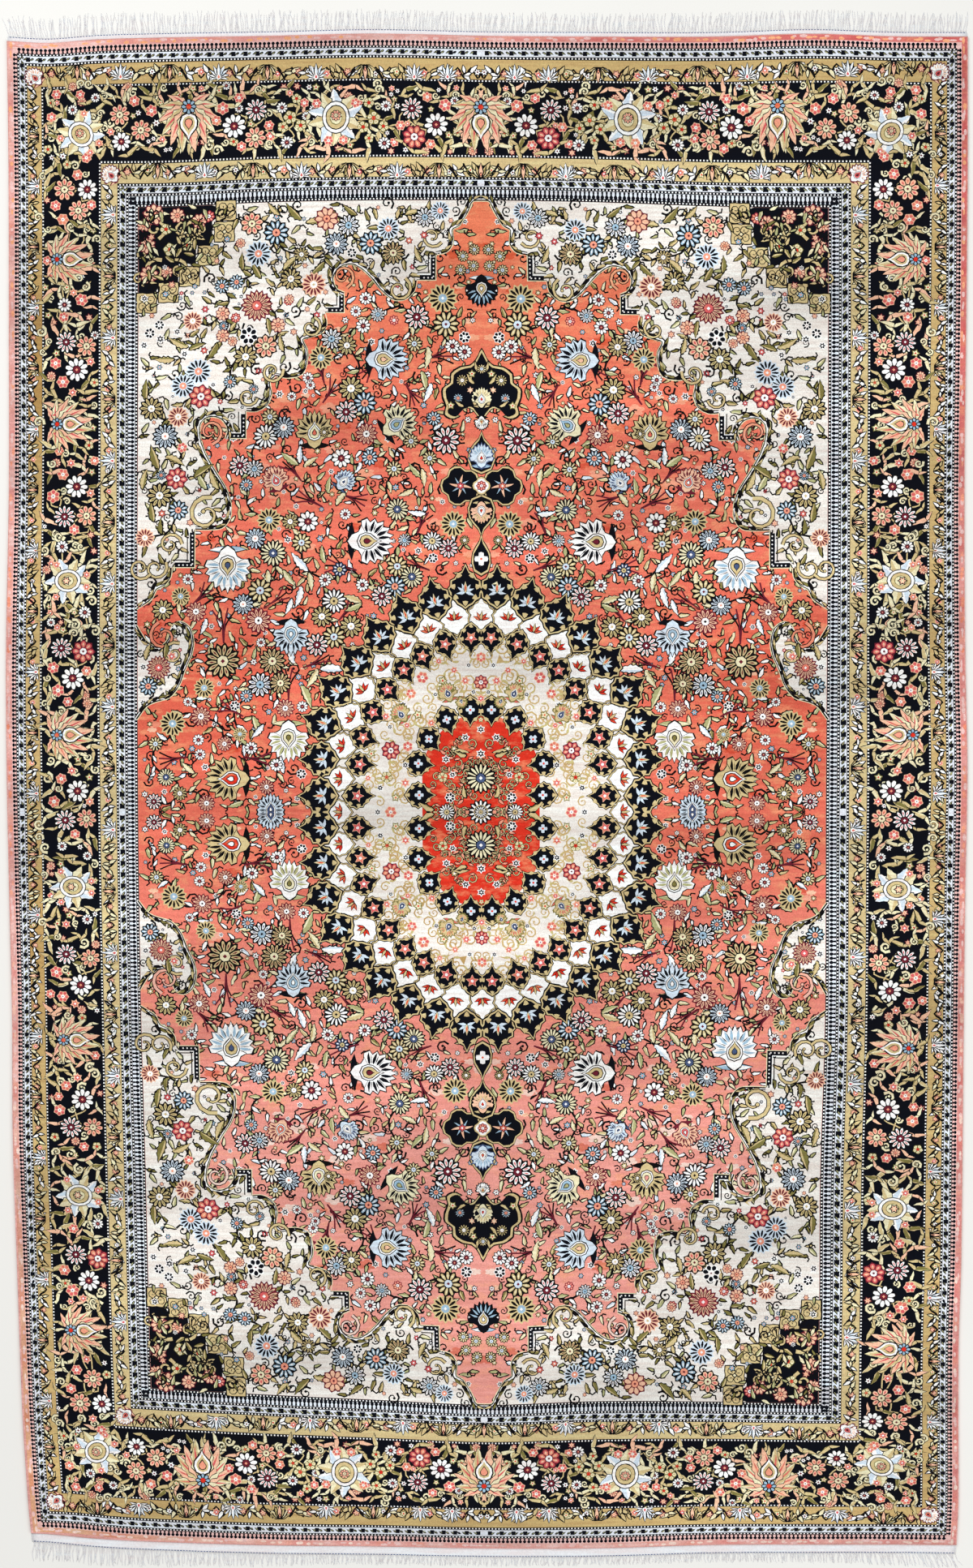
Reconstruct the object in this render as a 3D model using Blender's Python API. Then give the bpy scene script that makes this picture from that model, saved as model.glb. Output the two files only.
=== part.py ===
"""Hand-knotted pile rug with plain-woven ends and fringes, lying flat.

Metres, +Z up. The origin is on the floor under the middle of the rug's footprint.
+X runs across the rug and +Y along it, towards the end called the top.
The outline is the real, uneven one: a hand-knotted rug draws in towards one end
and its ends wander by a few millimetres.
"""

import math
import random
from typing import NamedTuple

import bmesh
import bpy
import numpy

MM = 0.001

# Driving sizes
PILE_WIDTH = 1334 * MM
PILE_LENGTH = 2100 * MM
PILE_THICKNESS = 4.5 * MM
PILE_RIM_ROUNDING = 1.2 * MM
WEAVE_THICKNESS = 1.4 * MM
TOP_WEAVE_WIDTH = 6.5 * MM
BOTTOM_WEAVE_WIDTH = 12 * MM
WEAVE_DRAW_IN = 1.5 * MM

# The stitched strip that holds each fringe, parted from the woven end
BACKING_GAP = 0.3 * MM
BACKING_WIDTH = 2.6 * MM
BACKING_THICKNESS = 1.5 * MM

# The fringe's locks
LOCKS_PER_END = 110
LOCK_ROOT_SHARE = 0.6
LOCK_TIP_WIDTH = 3.6 * MM
LOCK_ROOT_HEIGHT = 1.3 * MM
LOCK_TIP_HEIGHT = 0.9 * MM
LOCK_STEPS = 3
LOCK_SWAY = 1.6 * MM
LOCK_LENGTH_SPREAD = 0.1

# Points taken along each edge of the outline
SIDE_POINTS = 30
END_POINTS = 28


class SideStation(NamedTuple):
    """How far the two long edges lie inside the full width, at one place along the rug."""

    place: float
    left: float
    right: float


class EndStation(NamedTuple):
    """How far the two ends of the pile lie inside the full length, at one place across."""

    place: float
    top: float
    bottom: float


class FringeStation(NamedTuple):
    """A fringe's length and its lean to the right, at one place across the rug."""

    place: float
    length: float
    lean: float


SIDE_STATIONS = [
    SideStation(-1050 * MM, 37 * MM, 16 * MM),
    SideStation(-988 * MM, 31 * MM, 13 * MM),
    SideStation(-875 * MM, 23.5 * MM, 13 * MM),
    SideStation(-763 * MM, 19 * MM, 12.5 * MM),
    SideStation(-650 * MM, 15 * MM, 9 * MM),
    SideStation(-482 * MM, 9.5 * MM, 7 * MM),
    SideStation(-313 * MM, 8.5 * MM, 5.5 * MM),
    SideStation(-144 * MM, 4.5 * MM, 3.5 * MM),
    SideStation(25 * MM, 1 * MM, 0.5 * MM),
    SideStation(193 * MM, 0 * MM, 3.5 * MM),
    SideStation(418 * MM, 4 * MM, 4.5 * MM),
    SideStation(643 * MM, 4 * MM, 2 * MM),
    SideStation(868 * MM, 3.5 * MM, 0 * MM),
    SideStation(1050 * MM, 1 * MM, 0 * MM),
]

END_STATIONS = [
    EndStation(-667 * MM, 10 * MM, 22 * MM),
    EndStation(-608 * MM, 13 * MM, 20 * MM),
    EndStation(-540 * MM, 8 * MM, 13.5 * MM),
    EndStation(-450 * MM, 5.5 * MM, 9 * MM),
    EndStation(-304 * MM, 3 * MM, 4.5 * MM),
    EndStation(-158 * MM, 0 * MM, 3 * MM),
    EndStation(0 * MM, 3 * MM, 0 * MM),
    EndStation(157 * MM, 4 * MM, 0.5 * MM),
    EndStation(314 * MM, 4 * MM, 5 * MM),
    EndStation(450 * MM, 0 * MM, 5.5 * MM),
    EndStation(562 * MM, 3.5 * MM, 5.5 * MM),
    EndStation(667 * MM, 4 * MM, 4.5 * MM),
]

TOP_FRINGE = [
    FringeStation(-667 * MM, 30 * MM, math.radians(-14)),
    FringeStation(-600 * MM, 32 * MM, math.radians(-3)),
    FringeStation(0 * MM, 27 * MM, math.radians(2)),
    FringeStation(667 * MM, 28 * MM, math.radians(4)),
]

BOTTOM_FRINGE = [
    FringeStation(-667 * MM, 27 * MM, math.radians(-6)),
    FringeStation(-480 * MM, 25 * MM, math.radians(2)),
    FringeStation(-200 * MM, 15 * MM, math.radians(-2)),
    FringeStation(200 * MM, 13 * MM, math.radians(0)),
    FringeStation(520 * MM, 16 * MM, math.radians(8)),
    FringeStation(667 * MM, 27 * MM, math.radians(32)),
]


def smooth_value(stations, column, place):
    """Read a column between stations, on a smooth curve that passes through them all."""
    places = [station.place for station in stations]
    values = [getattr(station, column) for station in stations]
    last = len(stations) - 1
    place = min(max(place, places[0]), places[last])
    i = max(k for k in range(last) if places[k] <= place)

    def slope(k):
        before = max(k - 1, 0)
        after = min(k + 1, last)
        return (values[after] - values[before]) / (places[after] - places[before])

    span = places[i + 1] - places[i]
    t = (place - places[i]) / span
    rise = t * t * (3 - 2 * t)
    leave = t * (1 - t) ** 2
    arrive = t * t * (t - 1)
    return (
        values[i] * (1 - rise)
        + values[i + 1] * rise
        + span * (slope(i) * leave + slope(i + 1) * arrive)
    )


def left_edge(y):
    """The left long edge's x at a place along the rug."""
    return -PILE_WIDTH / 2 + smooth_value(SIDE_STATIONS, "left", y)


def right_edge(y):
    """The right long edge's x at a place along the rug."""
    return PILE_WIDTH / 2 - smooth_value(SIDE_STATIONS, "right", y)


def top_edge(x):
    """The pile's top end, as a y, at a place across the rug."""
    return PILE_LENGTH / 2 - smooth_value(END_STATIONS, "top", x)


def bottom_edge(x):
    """The pile's bottom end, as a y, at a place across the rug."""
    return -PILE_LENGTH / 2 + smooth_value(END_STATIONS, "bottom", x)


def corner(side, end):
    """Where a long edge meets an end of the pile."""
    y = end(0)
    for _ in range(6):
        x = side(y)
        y = end(x)
    return x, y


def side_points(side, end_from, end_to):
    """Points up or down one long edge, without its two corners."""
    y_from = corner(side, end_from)[1]
    y_to = corner(side, end_to)[1]
    ys = [y_from + (y_to - y_from) * i / SIDE_POINTS for i in range(1, SIDE_POINTS)]
    return [(side(y), y) for y in ys]


def end_points(end, outset):
    """Points across one end from left to right, moved outwards and drawn in a little."""
    x_left = corner(left_edge, end)[0] + (WEAVE_DRAW_IN if outset else 0)
    x_right = corner(right_edge, end)[0] - (WEAVE_DRAW_IN if outset else 0)
    out = outset if end is top_edge else -outset
    xs = [x_left + (x_right - x_left) * i / END_POINTS for i in range(END_POINTS + 1)]
    return [(x, end(x) + out) for x in xs]


def add_floor_vertices(bm, points):
    """Add flat points on the floor and return their vertices."""
    return [bm.verts.new((x, y, 0)) for x, y in points]


def raise_faces(bm, faces, height):
    """Pull faces straight up and return the faces on top."""
    grown = bmesh.ops.extrude_face_region(bm, geom=faces)["geom"]
    verts = [item for item in grown if isinstance(item, bmesh.types.BMVert)]
    bmesh.ops.translate(bm, verts=verts, vec=(0, 0, height))
    return [item for item in grown if isinstance(item, bmesh.types.BMFace)]


def finish_object(bm, name, material):
    """Close a mesh into a named object with its material."""
    bmesh.ops.recalc_face_normals(bm, faces=bm.faces)
    bmesh.ops.triangulate(bm, faces=bm.faces)
    mesh = bpy.data.meshes.new(name)
    bm.to_mesh(mesh)
    bm.free()
    mesh.materials.append(material)
    obj = bpy.data.objects.new(name, mesh)
    bpy.context.scene.collection.objects.link(obj)
    return obj


def make_material(name, color, roughness):
    """A plain material for one kind of yarn."""
    material = bpy.data.materials.new(name)
    material.use_nodes = True
    shader = material.node_tree.nodes["Principled BSDF"]
    shader.inputs["Base Color"].default_value = (*color, 1)
    shader.inputs["Roughness"].default_value = roughness
    shader.inputs["Metallic"].default_value = 0
    return material


def build_cloth(material):
    """The rug itself: the thick pile and, in one piece with it, its thin woven ends."""
    bm = bmesh.new()
    top = add_floor_vertices(bm, end_points(top_edge, 0))
    bottom = add_floor_vertices(bm, end_points(bottom_edge, 0))
    left = add_floor_vertices(bm, side_points(left_edge, bottom_edge, top_edge))
    right = add_floor_vertices(bm, side_points(right_edge, top_edge, bottom_edge))
    top_rim = add_floor_vertices(bm, end_points(top_edge, TOP_WEAVE_WIDTH))
    bottom_rim = add_floor_vertices(bm, end_points(bottom_edge, BOTTOM_WEAVE_WIDTH))

    pile = bm.faces.new(left + top + right + bottom[::-1])
    weaves = [bm.faces.new(top_rim + top[::-1]), bm.faces.new(bottom + bottom_rim[::-1])]

    raised = raise_faces(bm, [pile, *weaves], WEAVE_THICKNESS)
    pile_face = max(raised, key=lambda face: face.calc_area())
    pile_top = raise_faces(bm, [pile_face], PILE_THICKNESS - WEAVE_THICKNESS)
    bmesh.ops.delete(bm, geom=[pile_face], context="FACES_ONLY")
    rim = [edge for face in pile_top for edge in face.edges]
    bmesh.ops.bevel(
        bm,
        geom=rim,
        affect="EDGES",
        offset=PILE_RIM_ROUNDING,
        segments=2,
        profile=0.5,
        material=-1,
    )
    return finish_object(bm, "rug_cloth", material)


def grow_lock(bm, root, stations, outwards, dice):
    """Draw one lock of fringe out of a face of its backing, level on the floor."""
    center = root.calc_center_median()
    half_root = max(abs(vert.co.x - center.x) for vert in root.verts)
    length = smooth_value(stations, "length", center.x)
    length *= 1 + LOCK_LENGTH_SPREAD * dice.uniform(-1, 1)
    lean = smooth_value(stations, "lean", center.x)
    sway = LOCK_SWAY * dice.uniform(-1, 1)
    corners = [(vert.co.x > center.x, vert.co.z > center.z) for vert in root.verts]
    face = root
    for step in range(1, LOCK_STEPS + 1):
        t = step / LOCK_STEPS
        face = bmesh.ops.extrude_discrete_faces(bm, faces=[face])["faces"][0]
        middle_x = center.x + length * t * math.sin(lean) + sway * math.sin(math.pi * 1.4 * t)
        middle_y = center.y + outwards * length * t * math.cos(lean)
        half_width = half_root + (LOCK_TIP_WIDTH / 2 - half_root) * t
        height = LOCK_ROOT_HEIGHT + (LOCK_TIP_HEIGHT - LOCK_ROOT_HEIGHT) * t
        for vert, (is_right, is_high) in zip(face.verts, corners):
            vert.co.x = middle_x + (half_width if is_right else -half_width)
            vert.co.y = middle_y
            vert.co.z = height if is_high else 0


def build_fringe(name, end, weave_width, stations, seed, material):
    """One end's stitched backing strip with all its locks, fused at their roots."""
    outwards = 1 if end is top_edge else -1
    woven_rim = end_points(end, weave_width)
    rim_xs = [x for x, _ in woven_rim]
    rim_ys = [y for _, y in woven_rim]
    pitch = (rim_xs[-1] - rim_xs[0]) / LOCKS_PER_END
    half_lock = pitch * LOCK_ROOT_SHARE / 2
    xs = [rim_xs[0]]
    for i in range(LOCKS_PER_END):
        middle = rim_xs[0] + (i + 0.5) * pitch
        xs += [middle - half_lock, middle + half_lock]
    xs.append(rim_xs[-1])

    near = outwards * BACKING_GAP
    far = outwards * (BACKING_GAP + BACKING_WIDTH)
    ys = [float(numpy.interp(x, rim_xs, rim_ys)) for x in xs]
    bm = bmesh.new()
    inner = add_floor_vertices(bm, [(x, y + near) for x, y in zip(xs, ys)])
    outer = add_floor_vertices(bm, [(x, y + far) for x, y in zip(xs, ys)])
    cells = [
        bm.faces.new((inner[i], inner[i + 1], outer[i + 1], outer[i]))
        for i in range(len(xs) - 1)
    ]
    raise_faces(bm, cells, BACKING_THICKNESS)
    bmesh.ops.recalc_face_normals(bm, faces=bm.faces)

    roots = []
    for i in range(1, len(xs) - 1, 2):
        edge = bm.edges.get((outer[i], outer[i + 1]))
        roots.append(next(face for face in edge.link_faces if abs(face.normal.z) < 0.5))
    dice = random.Random(seed)
    for root in roots:
        grow_lock(bm, root, stations, outwards, dice)
    return finish_object(bm, name, material)


def centre_footprint(objects):
    """Move every mesh so that the middle of the whole footprint is at the origin."""
    points = [vert.co for obj in objects for vert in obj.data.vertices]
    middle_x = (min(p.x for p in points) + max(p.x for p in points)) / 2
    middle_y = (min(p.y for p in points) + max(p.y for p in points)) / 2
    for obj in objects:
        for vert in obj.data.vertices:
            vert.co.x -= middle_x
            vert.co.y -= middle_y


def main():
    """Build the cloth and its two fringes."""
    for obj in list(bpy.data.objects):
        bpy.data.objects.remove(obj, do_unlink=True)
    silk_pile = make_material("coral_silk_pile", (0.62, 0.14, 0.09), 0.75)
    white_silk = make_material("white_silk_warp", (0.8, 0.8, 0.82), 0.7)
    cloth = build_cloth(silk_pile)
    top = build_fringe("fringe_top", top_edge, TOP_WEAVE_WIDTH, TOP_FRINGE, 11, white_silk)
    bottom = build_fringe(
        "fringe_bottom", bottom_edge, BOTTOM_WEAVE_WIDTH, BOTTOM_FRINGE, 23, white_silk
    )
    centre_footprint([cloth, top, bottom])


main()
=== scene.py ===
"""Looks of a hand-knotted silk rug: its knotted pattern, pile, woven ends and fringes.

The pattern is drawn as flat shapes in the rug's own ideal plan, one quarter at a time, and is
repeated by mirrors. The finished drawing is cut into single-layer panels of coloured faces and
bent to the rug's real, uneven outline. Plan lengths are in steps of PLAN_STEP metres.
"""
from __future__ import annotations

import logging
import math
import random
from dataclasses import dataclass, field
from enum import Enum
from typing import Iterable, NamedTuple, Sequence

import bmesh
import bpy
import numpy as np
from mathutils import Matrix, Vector
from mathutils.geometry import delaunay_2d_cdt

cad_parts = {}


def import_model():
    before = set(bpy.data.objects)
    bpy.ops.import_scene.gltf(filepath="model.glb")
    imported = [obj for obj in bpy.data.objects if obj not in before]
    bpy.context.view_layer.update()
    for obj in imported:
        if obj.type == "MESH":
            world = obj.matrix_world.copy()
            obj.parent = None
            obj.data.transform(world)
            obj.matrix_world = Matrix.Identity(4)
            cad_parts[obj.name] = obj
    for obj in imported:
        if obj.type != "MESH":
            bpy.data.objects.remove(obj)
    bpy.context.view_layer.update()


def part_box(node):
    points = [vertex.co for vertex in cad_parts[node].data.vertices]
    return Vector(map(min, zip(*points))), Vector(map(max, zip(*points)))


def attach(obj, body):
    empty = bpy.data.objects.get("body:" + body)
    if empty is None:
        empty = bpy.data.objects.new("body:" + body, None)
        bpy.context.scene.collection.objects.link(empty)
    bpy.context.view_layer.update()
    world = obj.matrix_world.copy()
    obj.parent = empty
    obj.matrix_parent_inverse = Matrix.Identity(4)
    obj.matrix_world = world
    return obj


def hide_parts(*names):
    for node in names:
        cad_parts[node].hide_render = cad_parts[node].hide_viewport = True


LOG = logging.getLogger("rug")
MM = 0.001
PLAN_STEP = 1.125 * MM

# The picture's own frame, and the picture point that lies over the middle of the pile
PICTURE_SIZE = (1200, 1933)
MIDDLE_PX = complex(600.5, 972)
MEDALLION_PX = complex(594.5, 998)
AXIS_PX = 593.0

Points = np.ndarray


class Yarn(Enum):
    """Dyed yarns of the pile, as sRGB colours."""

    CORAL = (0.91, 0.46, 0.38)
    CORAL_DEEP = (0.84, 0.34, 0.25)
    CORAL_EDGE = (0.88, 0.65, 0.62)
    CORAL_PALE = (0.93, 0.62, 0.52)
    PINK_GROUND = (0.90, 0.74, 0.72)
    RED = (0.86, 0.20, 0.13)
    ROSE = (0.85, 0.37, 0.38)
    SALMON = (0.94, 0.62, 0.52)
    PEACH = (0.95, 0.76, 0.64)
    MAROON = (0.42, 0.12, 0.18)
    IVORY = (0.93, 0.91, 0.88)
    WHITE = (0.99, 0.99, 0.98)
    ICE = (0.83, 0.89, 0.94)
    PEARL = (0.88, 0.90, 0.93)
    SKY = (0.62, 0.74, 0.82)
    SLATE = (0.28, 0.34, 0.48)
    NAVY = (0.02, 0.03, 0.07)
    INK = (0.04, 0.03, 0.04)
    GOLD = (0.83, 0.75, 0.55)
    BRONZE = (0.79, 0.68, 0.46)
    STRAW = (0.92, 0.89, 0.74)
    OLIVE = (0.50, 0.47, 0.26)
    MOSS = (0.70, 0.70, 0.50)
    KHAKI = (0.78, 0.73, 0.50)


# The yarn of a large leaf's shaded half
HALF_TONES = {
    Yarn.WHITE: Yarn.ICE, Yarn.STRAW: Yarn.GOLD, Yarn.GOLD: Yarn.OLIVE, Yarn.MOSS: Yarn.STRAW,
    Yarn.OLIVE: Yarn.GOLD, Yarn.SKY: Yarn.WHITE,
}


class Copies(Enum):
    """How a shape of the master quarter is repeated, as signs for across and along."""

    ONCE = ((1, 1),)
    SIDES = ((1, 1), (-1, 1))
    ENDS = ((1, 1), (1, -1))
    QUARTERS = ((1, 1), (-1, 1), (1, -1), (-1, -1))


class Recipe(NamedTuple):
    """A flower's petal count and the yarns of its petals, tips, heart, core and outline."""

    petals: int
    petal: Yarn
    tip: Yarn | None
    heart: Yarn
    core: Yarn
    edge: Yarn


class Bloom(Enum):
    """The kinds of flower in the design."""

    SALMON = Recipe(9, Yarn.PEACH, Yarn.ROSE, Yarn.STRAW, Yarn.MAROON, Yarn.INK)
    PEACH = Recipe(9, Yarn.PEACH, None, Yarn.SALMON, Yarn.MAROON, Yarn.MAROON)
    ROSE = Recipe(8, Yarn.ROSE, Yarn.PEACH, Yarn.WHITE, Yarn.MAROON, Yarn.MAROON)
    STAR = Recipe(6, Yarn.ROSE, None, Yarn.WHITE, Yarn.MAROON, Yarn.PEACH)
    WHITE = Recipe(10, Yarn.WHITE, None, Yarn.MAROON, Yarn.SALMON, Yarn.INK)
    WHITE_RED = Recipe(12, Yarn.WHITE, Yarn.ROSE, Yarn.MAROON, Yarn.WHITE, Yarn.INK)
    WHITE_BLUE = Recipe(12, Yarn.WHITE, Yarn.SLATE, Yarn.SKY, Yarn.INK, Yarn.INK)
    DOTTED = Recipe(14, Yarn.WHITE, None, Yarn.GOLD, Yarn.INK, Yarn.INK)
    MAROON = Recipe(14, Yarn.MAROON, None, Yarn.WHITE, Yarn.GOLD, Yarn.PEACH)
    NAVY = Recipe(14, Yarn.NAVY, None, Yarn.SALMON, Yarn.WHITE, Yarn.ICE)
    BLACK = Recipe(7, Yarn.NAVY, None, Yarn.WHITE, Yarn.MAROON, Yarn.WHITE)
    GOLD = Recipe(12, Yarn.GOLD, Yarn.OLIVE, Yarn.WHITE, Yarn.GOLD, Yarn.INK)
    BROWN = Recipe(14, Yarn.GOLD, Yarn.MAROON, Yarn.STRAW, Yarn.MAROON, Yarn.INK)
    YELLOW = Recipe(5, Yarn.STRAW, Yarn.GOLD, Yarn.RED, Yarn.MAROON, Yarn.OLIVE)
    SKY = Recipe(11, Yarn.SKY, Yarn.WHITE, Yarn.SALMON, Yarn.MAROON, Yarn.INK)
    SKY_NAVY = Recipe(14, Yarn.ICE, Yarn.NAVY, Yarn.WHITE, Yarn.SALMON, Yarn.NAVY)
    CREAM = Recipe(16, Yarn.STRAW, None, Yarn.SLATE, Yarn.WHITE, Yarn.INK)
    BLUSH = Recipe(17, Yarn.PEACH, Yarn.INK, Yarn.ROSE, Yarn.WHITE, Yarn.MAROON)
    NIGHT = Recipe(14, Yarn.INK, None, Yarn.SKY, Yarn.WHITE, Yarn.GOLD)
    GOLD_SKY = Recipe(11, Yarn.GOLD, Yarn.STRAW, Yarn.ICE, Yarn.MAROON, Yarn.INK)
    PLUM = Recipe(13, Yarn.PEACH, Yarn.MAROON, Yarn.WHITE, Yarn.INK, Yarn.MAROON)
    SLATE_GOLD = Recipe(9, Yarn.SLATE, Yarn.WHITE, Yarn.GOLD, Yarn.INK, Yarn.INK)


class Spot(NamedTuple):
    """A flower, by its picture point, radius in picture points and kind."""

    px: float
    py: float
    radius: float
    bloom: Bloom


def turned(degrees: float) -> complex:
    """Unit number that turns a shape anticlockwise."""
    return complex(math.cos(math.radians(degrees)), math.sin(math.radians(degrees)))


def bearing(step: complex) -> float:
    """Degrees that turn a shape that points up so that it points along a step."""
    return math.degrees(math.atan2(step.imag, step.real)) - 90


def round_shape(corners: int, radius: float = 1.0, phase: float = 0.0) -> Points:
    """Even points around a circle."""
    return radius * np.exp(1j * (2 * math.pi * np.arange(corners) / corners + phase))


def lobed_shape(lobes: int, depth: float, fine: bool = True) -> Points:
    """Outline of unit radius with round lobes, the first one pointing up.

    Args:
        lobes: how many lobes it has.
        depth: how far its valleys lie inside the tips, as a share.
        fine: whether a lobe has shoulders or is a plain point.

    Returns:
        The closed outline, anticlockwise.
    """
    radii = [1 - depth, 0.96, 1.0, 0.96] if fine else [1 - depth, 1.0]
    spread = [-0.5, -0.24, 0.0, 0.24] if fine else [-0.5, 0.0]
    angles = [2 * math.pi * (k + s) / lobes for k in range(lobes) for s in spread]
    return np.array(radii * lobes) * np.exp(1j * (np.array(angles) + math.pi / 2))


def petal_shape(width: float, inner: float) -> Points:
    """One petal that points up from near the middle to unit radius."""
    side = np.array([0.3 * width + 1j * inner, 0.9 * width + 0.68j, 0.62 * width + 0.94j])
    return np.concatenate([side, [1j], -side.conj()[::-1]])


def stripe_shape(width: float, inner: float) -> Points:
    """A thin kite within a petal, which points up to unit radius."""
    return np.array([1j * inner, width + 0.8j, 1j, -width + 0.8j])


def leaf_shape(width: float, teeth: int = 0) -> Points:
    """A leaf of unit length that points up, with plain or toothed sides.

    Args:
        width: how wide it is for its length.
        teeth: how many teeth a side has.

    Returns:
        Its outline.
    """
    if not teeth:
        side = np.array([0.34 * width + 0.14j, 0.5 * width + 0.42j, 0.3 * width + 0.76j])
    else:
        steps = np.arange(1, 2 * teeth)
        lengths = steps / (2 * teeth)
        swell = np.sin(math.pi * lengths ** 0.8) * np.where(steps % 2, 0.5, 0.34) * width
        side = swell + 1j * lengths
    return np.concatenate([[0j], side, [1j], -side.conj()[::-1]])


def settled(at: complex, copies: Copies) -> tuple[complex, Copies]:
    """Put a place that is nearly on an axis right on it, and leave out the copy across it.

    Args:
        at: the place.
        copies: the copies that were asked for.

    Returns:
        The place and the copies.
    """
    if copies is Copies.QUARTERS and abs(at.real) < 3:
        return complex(0, at.imag), Copies.ENDS
    if copies is Copies.QUARTERS and abs(at.imag) < 3:
        return complex(at.real, 0), Copies.SIDES
    return at, copies


def ogee_shape(width: float, height: float) -> Points:
    """A pointed onion shape whose tip points up, centred near its widest part.

    Args:
        width: how wide it is for its length.
        height: how high it is.

    Returns:
        Its outline.
    """
    side = np.array([0.34 - 0.5j, 0.72 - 0.42j, 0.98 - 0.12j, 0.9 + 0.18j, 0.56 + 0.4j, 0.2 + 0.58j])
    side = side.real * width / 2 + 1j * side.imag * height
    return np.concatenate([[-0.56j * height], side, [0.82j * height], -side.conj()[::-1]])


def bell_shape() -> Points:
    """A palmette that opens upward from a narrow foot to a scalloped mouth, of unit half width.

    Returns:
        Its outline.
    """
    side = np.array([
        0.1 - 0.95j, 0.3 - 0.8j, 0.42 - 0.5j, 0.62 - 0.38j, 0.92 - 0.36j, 1.03 - 0.1j, 0.84 + 0.02j,
        1.0 + 0.24j, 0.8 + 0.34j, 0.88 + 0.62j, 0.62 + 0.6j, 0.58 + 0.9j, 0.36 + 0.78j, 0.26 + 1.06j,
        0.1 + 0.86j,
    ])
    return np.concatenate([[-1j], side, [1.15j], -side.conj()[::-1]])


def bent(points: Points, bend: float) -> Points:
    """Sweep a shape of unit length sideways as it rises."""
    return points + bend * points.imag ** 2


def smooth_path(points: Sequence[complex], steps: int = 5) -> Points:
    """Points on a smooth curve through the given ones.

    Args:
        points: the places that the curve passes through.
        steps: how many stretches lie between two of them.

    Returns:
        The curve's points, ends included.
    """
    knots = [2 * points[0] - points[1], *points, 2 * points[-1] - points[-2]]
    path = []
    for i in range(1, len(knots) - 2):
        before, start, end, after = knots[i - 1 : i + 3]
        for k in range(steps):
            t = k / steps
            path.append(
                0.5
                * (
                    2 * start
                    + (end - before) * t
                    + (2 * before - 5 * start + 4 * end - after) * t * t
                    + (3 * start - before - 3 * end + after) * t**3
                )
            )
    return np.array([*path, points[-1]])


def whole_outline(quarter: Points) -> Points:
    """Mirror a line that runs from the long axis to the cross axis into a closed outline."""
    left = np.concatenate([quarter, quarter.conj()[::-1][1:]])
    return np.concatenate([left, -left.conj()[::-1][1:-1]])


def signed_area(points: Points) -> float:
    """Area of an outline, above zero when it runs anticlockwise."""
    ahead = np.roll(points, -1)
    return 0.5 * float(np.sum(points.real * ahead.imag - ahead.real * points.imag))


def inside(points: Points, outline: Points) -> np.ndarray:
    """Which points lie inside a closed outline.

    Args:
        points: the points.
        outline: the closed outline.

    Returns:
        One truth value for each point.
    """
    hit = np.zeros(len(points), bool)
    for start, end in zip(outline, np.roll(outline, -1)):
        if start.imag == end.imag:
            continue
        spans = (start.imag > points.imag) != (end.imag > points.imag)
        cross = start.real + (points.imag - start.imag) * (end.real - start.real) / (end.imag - start.imag)
        hit ^= spans & (points.real < cross)
    return hit


class SmoothTable:
    """A column of measures at rising places, read on a smooth curve through them."""

    def __init__(self, places: Sequence[float], values: Sequence[float]) -> None:
        """Keep the rows and work out the curve's slope at each.

        Args:
            places: where the rows are.
            values: the measure at each.
        """
        self.places = np.array(places, float)
        self.values = np.array(values, float)
        before = np.maximum(np.arange(len(places)) - 1, 0)
        after = np.minimum(np.arange(len(places)) + 1, len(places) - 1)
        rise = self.values[after] - self.values[before]
        self.slopes = rise / (self.places[after] - self.places[before])

    def __call__(self, place: np.ndarray | float) -> np.ndarray:
        """The measure at one or many places.

        Args:
            place: where to read.

        Returns:
            The measure there.
        """
        place = np.clip(np.asarray(place, float), self.places[0], self.places[-1])
        i = np.clip(np.searchsorted(self.places, place, side="right") - 1, 0, len(self.places) - 2)
        span = self.places[i + 1] - self.places[i]
        t = (place - self.places[i]) / span
        rise = t * t * (3 - 2 * t)
        bow = self.slopes[i] * t * (1 - t) ** 2 + self.slopes[i + 1] * t * t * (t - 1)
        return self.values[i] * (1 - rise) + self.values[i + 1] * rise + span * bow


# How far the pile's edges lie inside its full width and length, in mm, as on the solid
SIDE_PLACES = (-1050, -988, -875, -763, -650, -482, -313, -144, 25, 193, 418, 643, 868, 1050)
LEFT_INSETS = (37, 31, 23.5, 19, 15, 9.5, 8.5, 4.5, 1, 0, 4, 4, 3.5, 1)
RIGHT_INSETS = (16, 13, 13, 12.5, 9, 7, 5.5, 3.5, 0.5, 3.5, 4.5, 2, 0, 0)
END_PLACES = (-667, -608, -540, -450, -304, -158, 0, 157, 314, 450, 562, 667)
TOP_INSETS = (10, 13, 8, 5.5, 3, 0, 3, 4, 4, 0, 3.5, 4)
BOTTOM_INSETS = (22, 20, 13.5, 9, 4.5, 3, 0, 0.5, 5, 5.5, 5.5, 4.5)

# Where the field inside the borders begins and ends, in picture points
FIELD_ROWS = (45, 200, 400, 700, 1000, 1250, 1450, 1600, 1700, 1800, 1890)
FIELD_LEFT = (172, 171.5, 171, 170, 171, 174.5, 180, 183.5, 186, 190, 195)
FIELD_AXIS = (593, 593, 594, 593.5, 593, 595, 595.5, 596, 597, 597, 597)
FIELD_RIGHT = (1021, 1021, 1021, 1020, 1018, 1017, 1011, 1010, 1009, 1008, 1008)
FIELD_COLUMNS = (10, 100, 200, 330, 460, 600, 740, 880, 1000, 1100, 1192)
FIELD_TOP = (253, 253, 253, 247, 244.5, 244.5, 247, 252, 254, 253, 253)
FIELD_BOTTOM = (1698, 1703, 1709, 1716, 1722, 1728, 1723.5, 1724, 1726, 1727, 1728)

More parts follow.
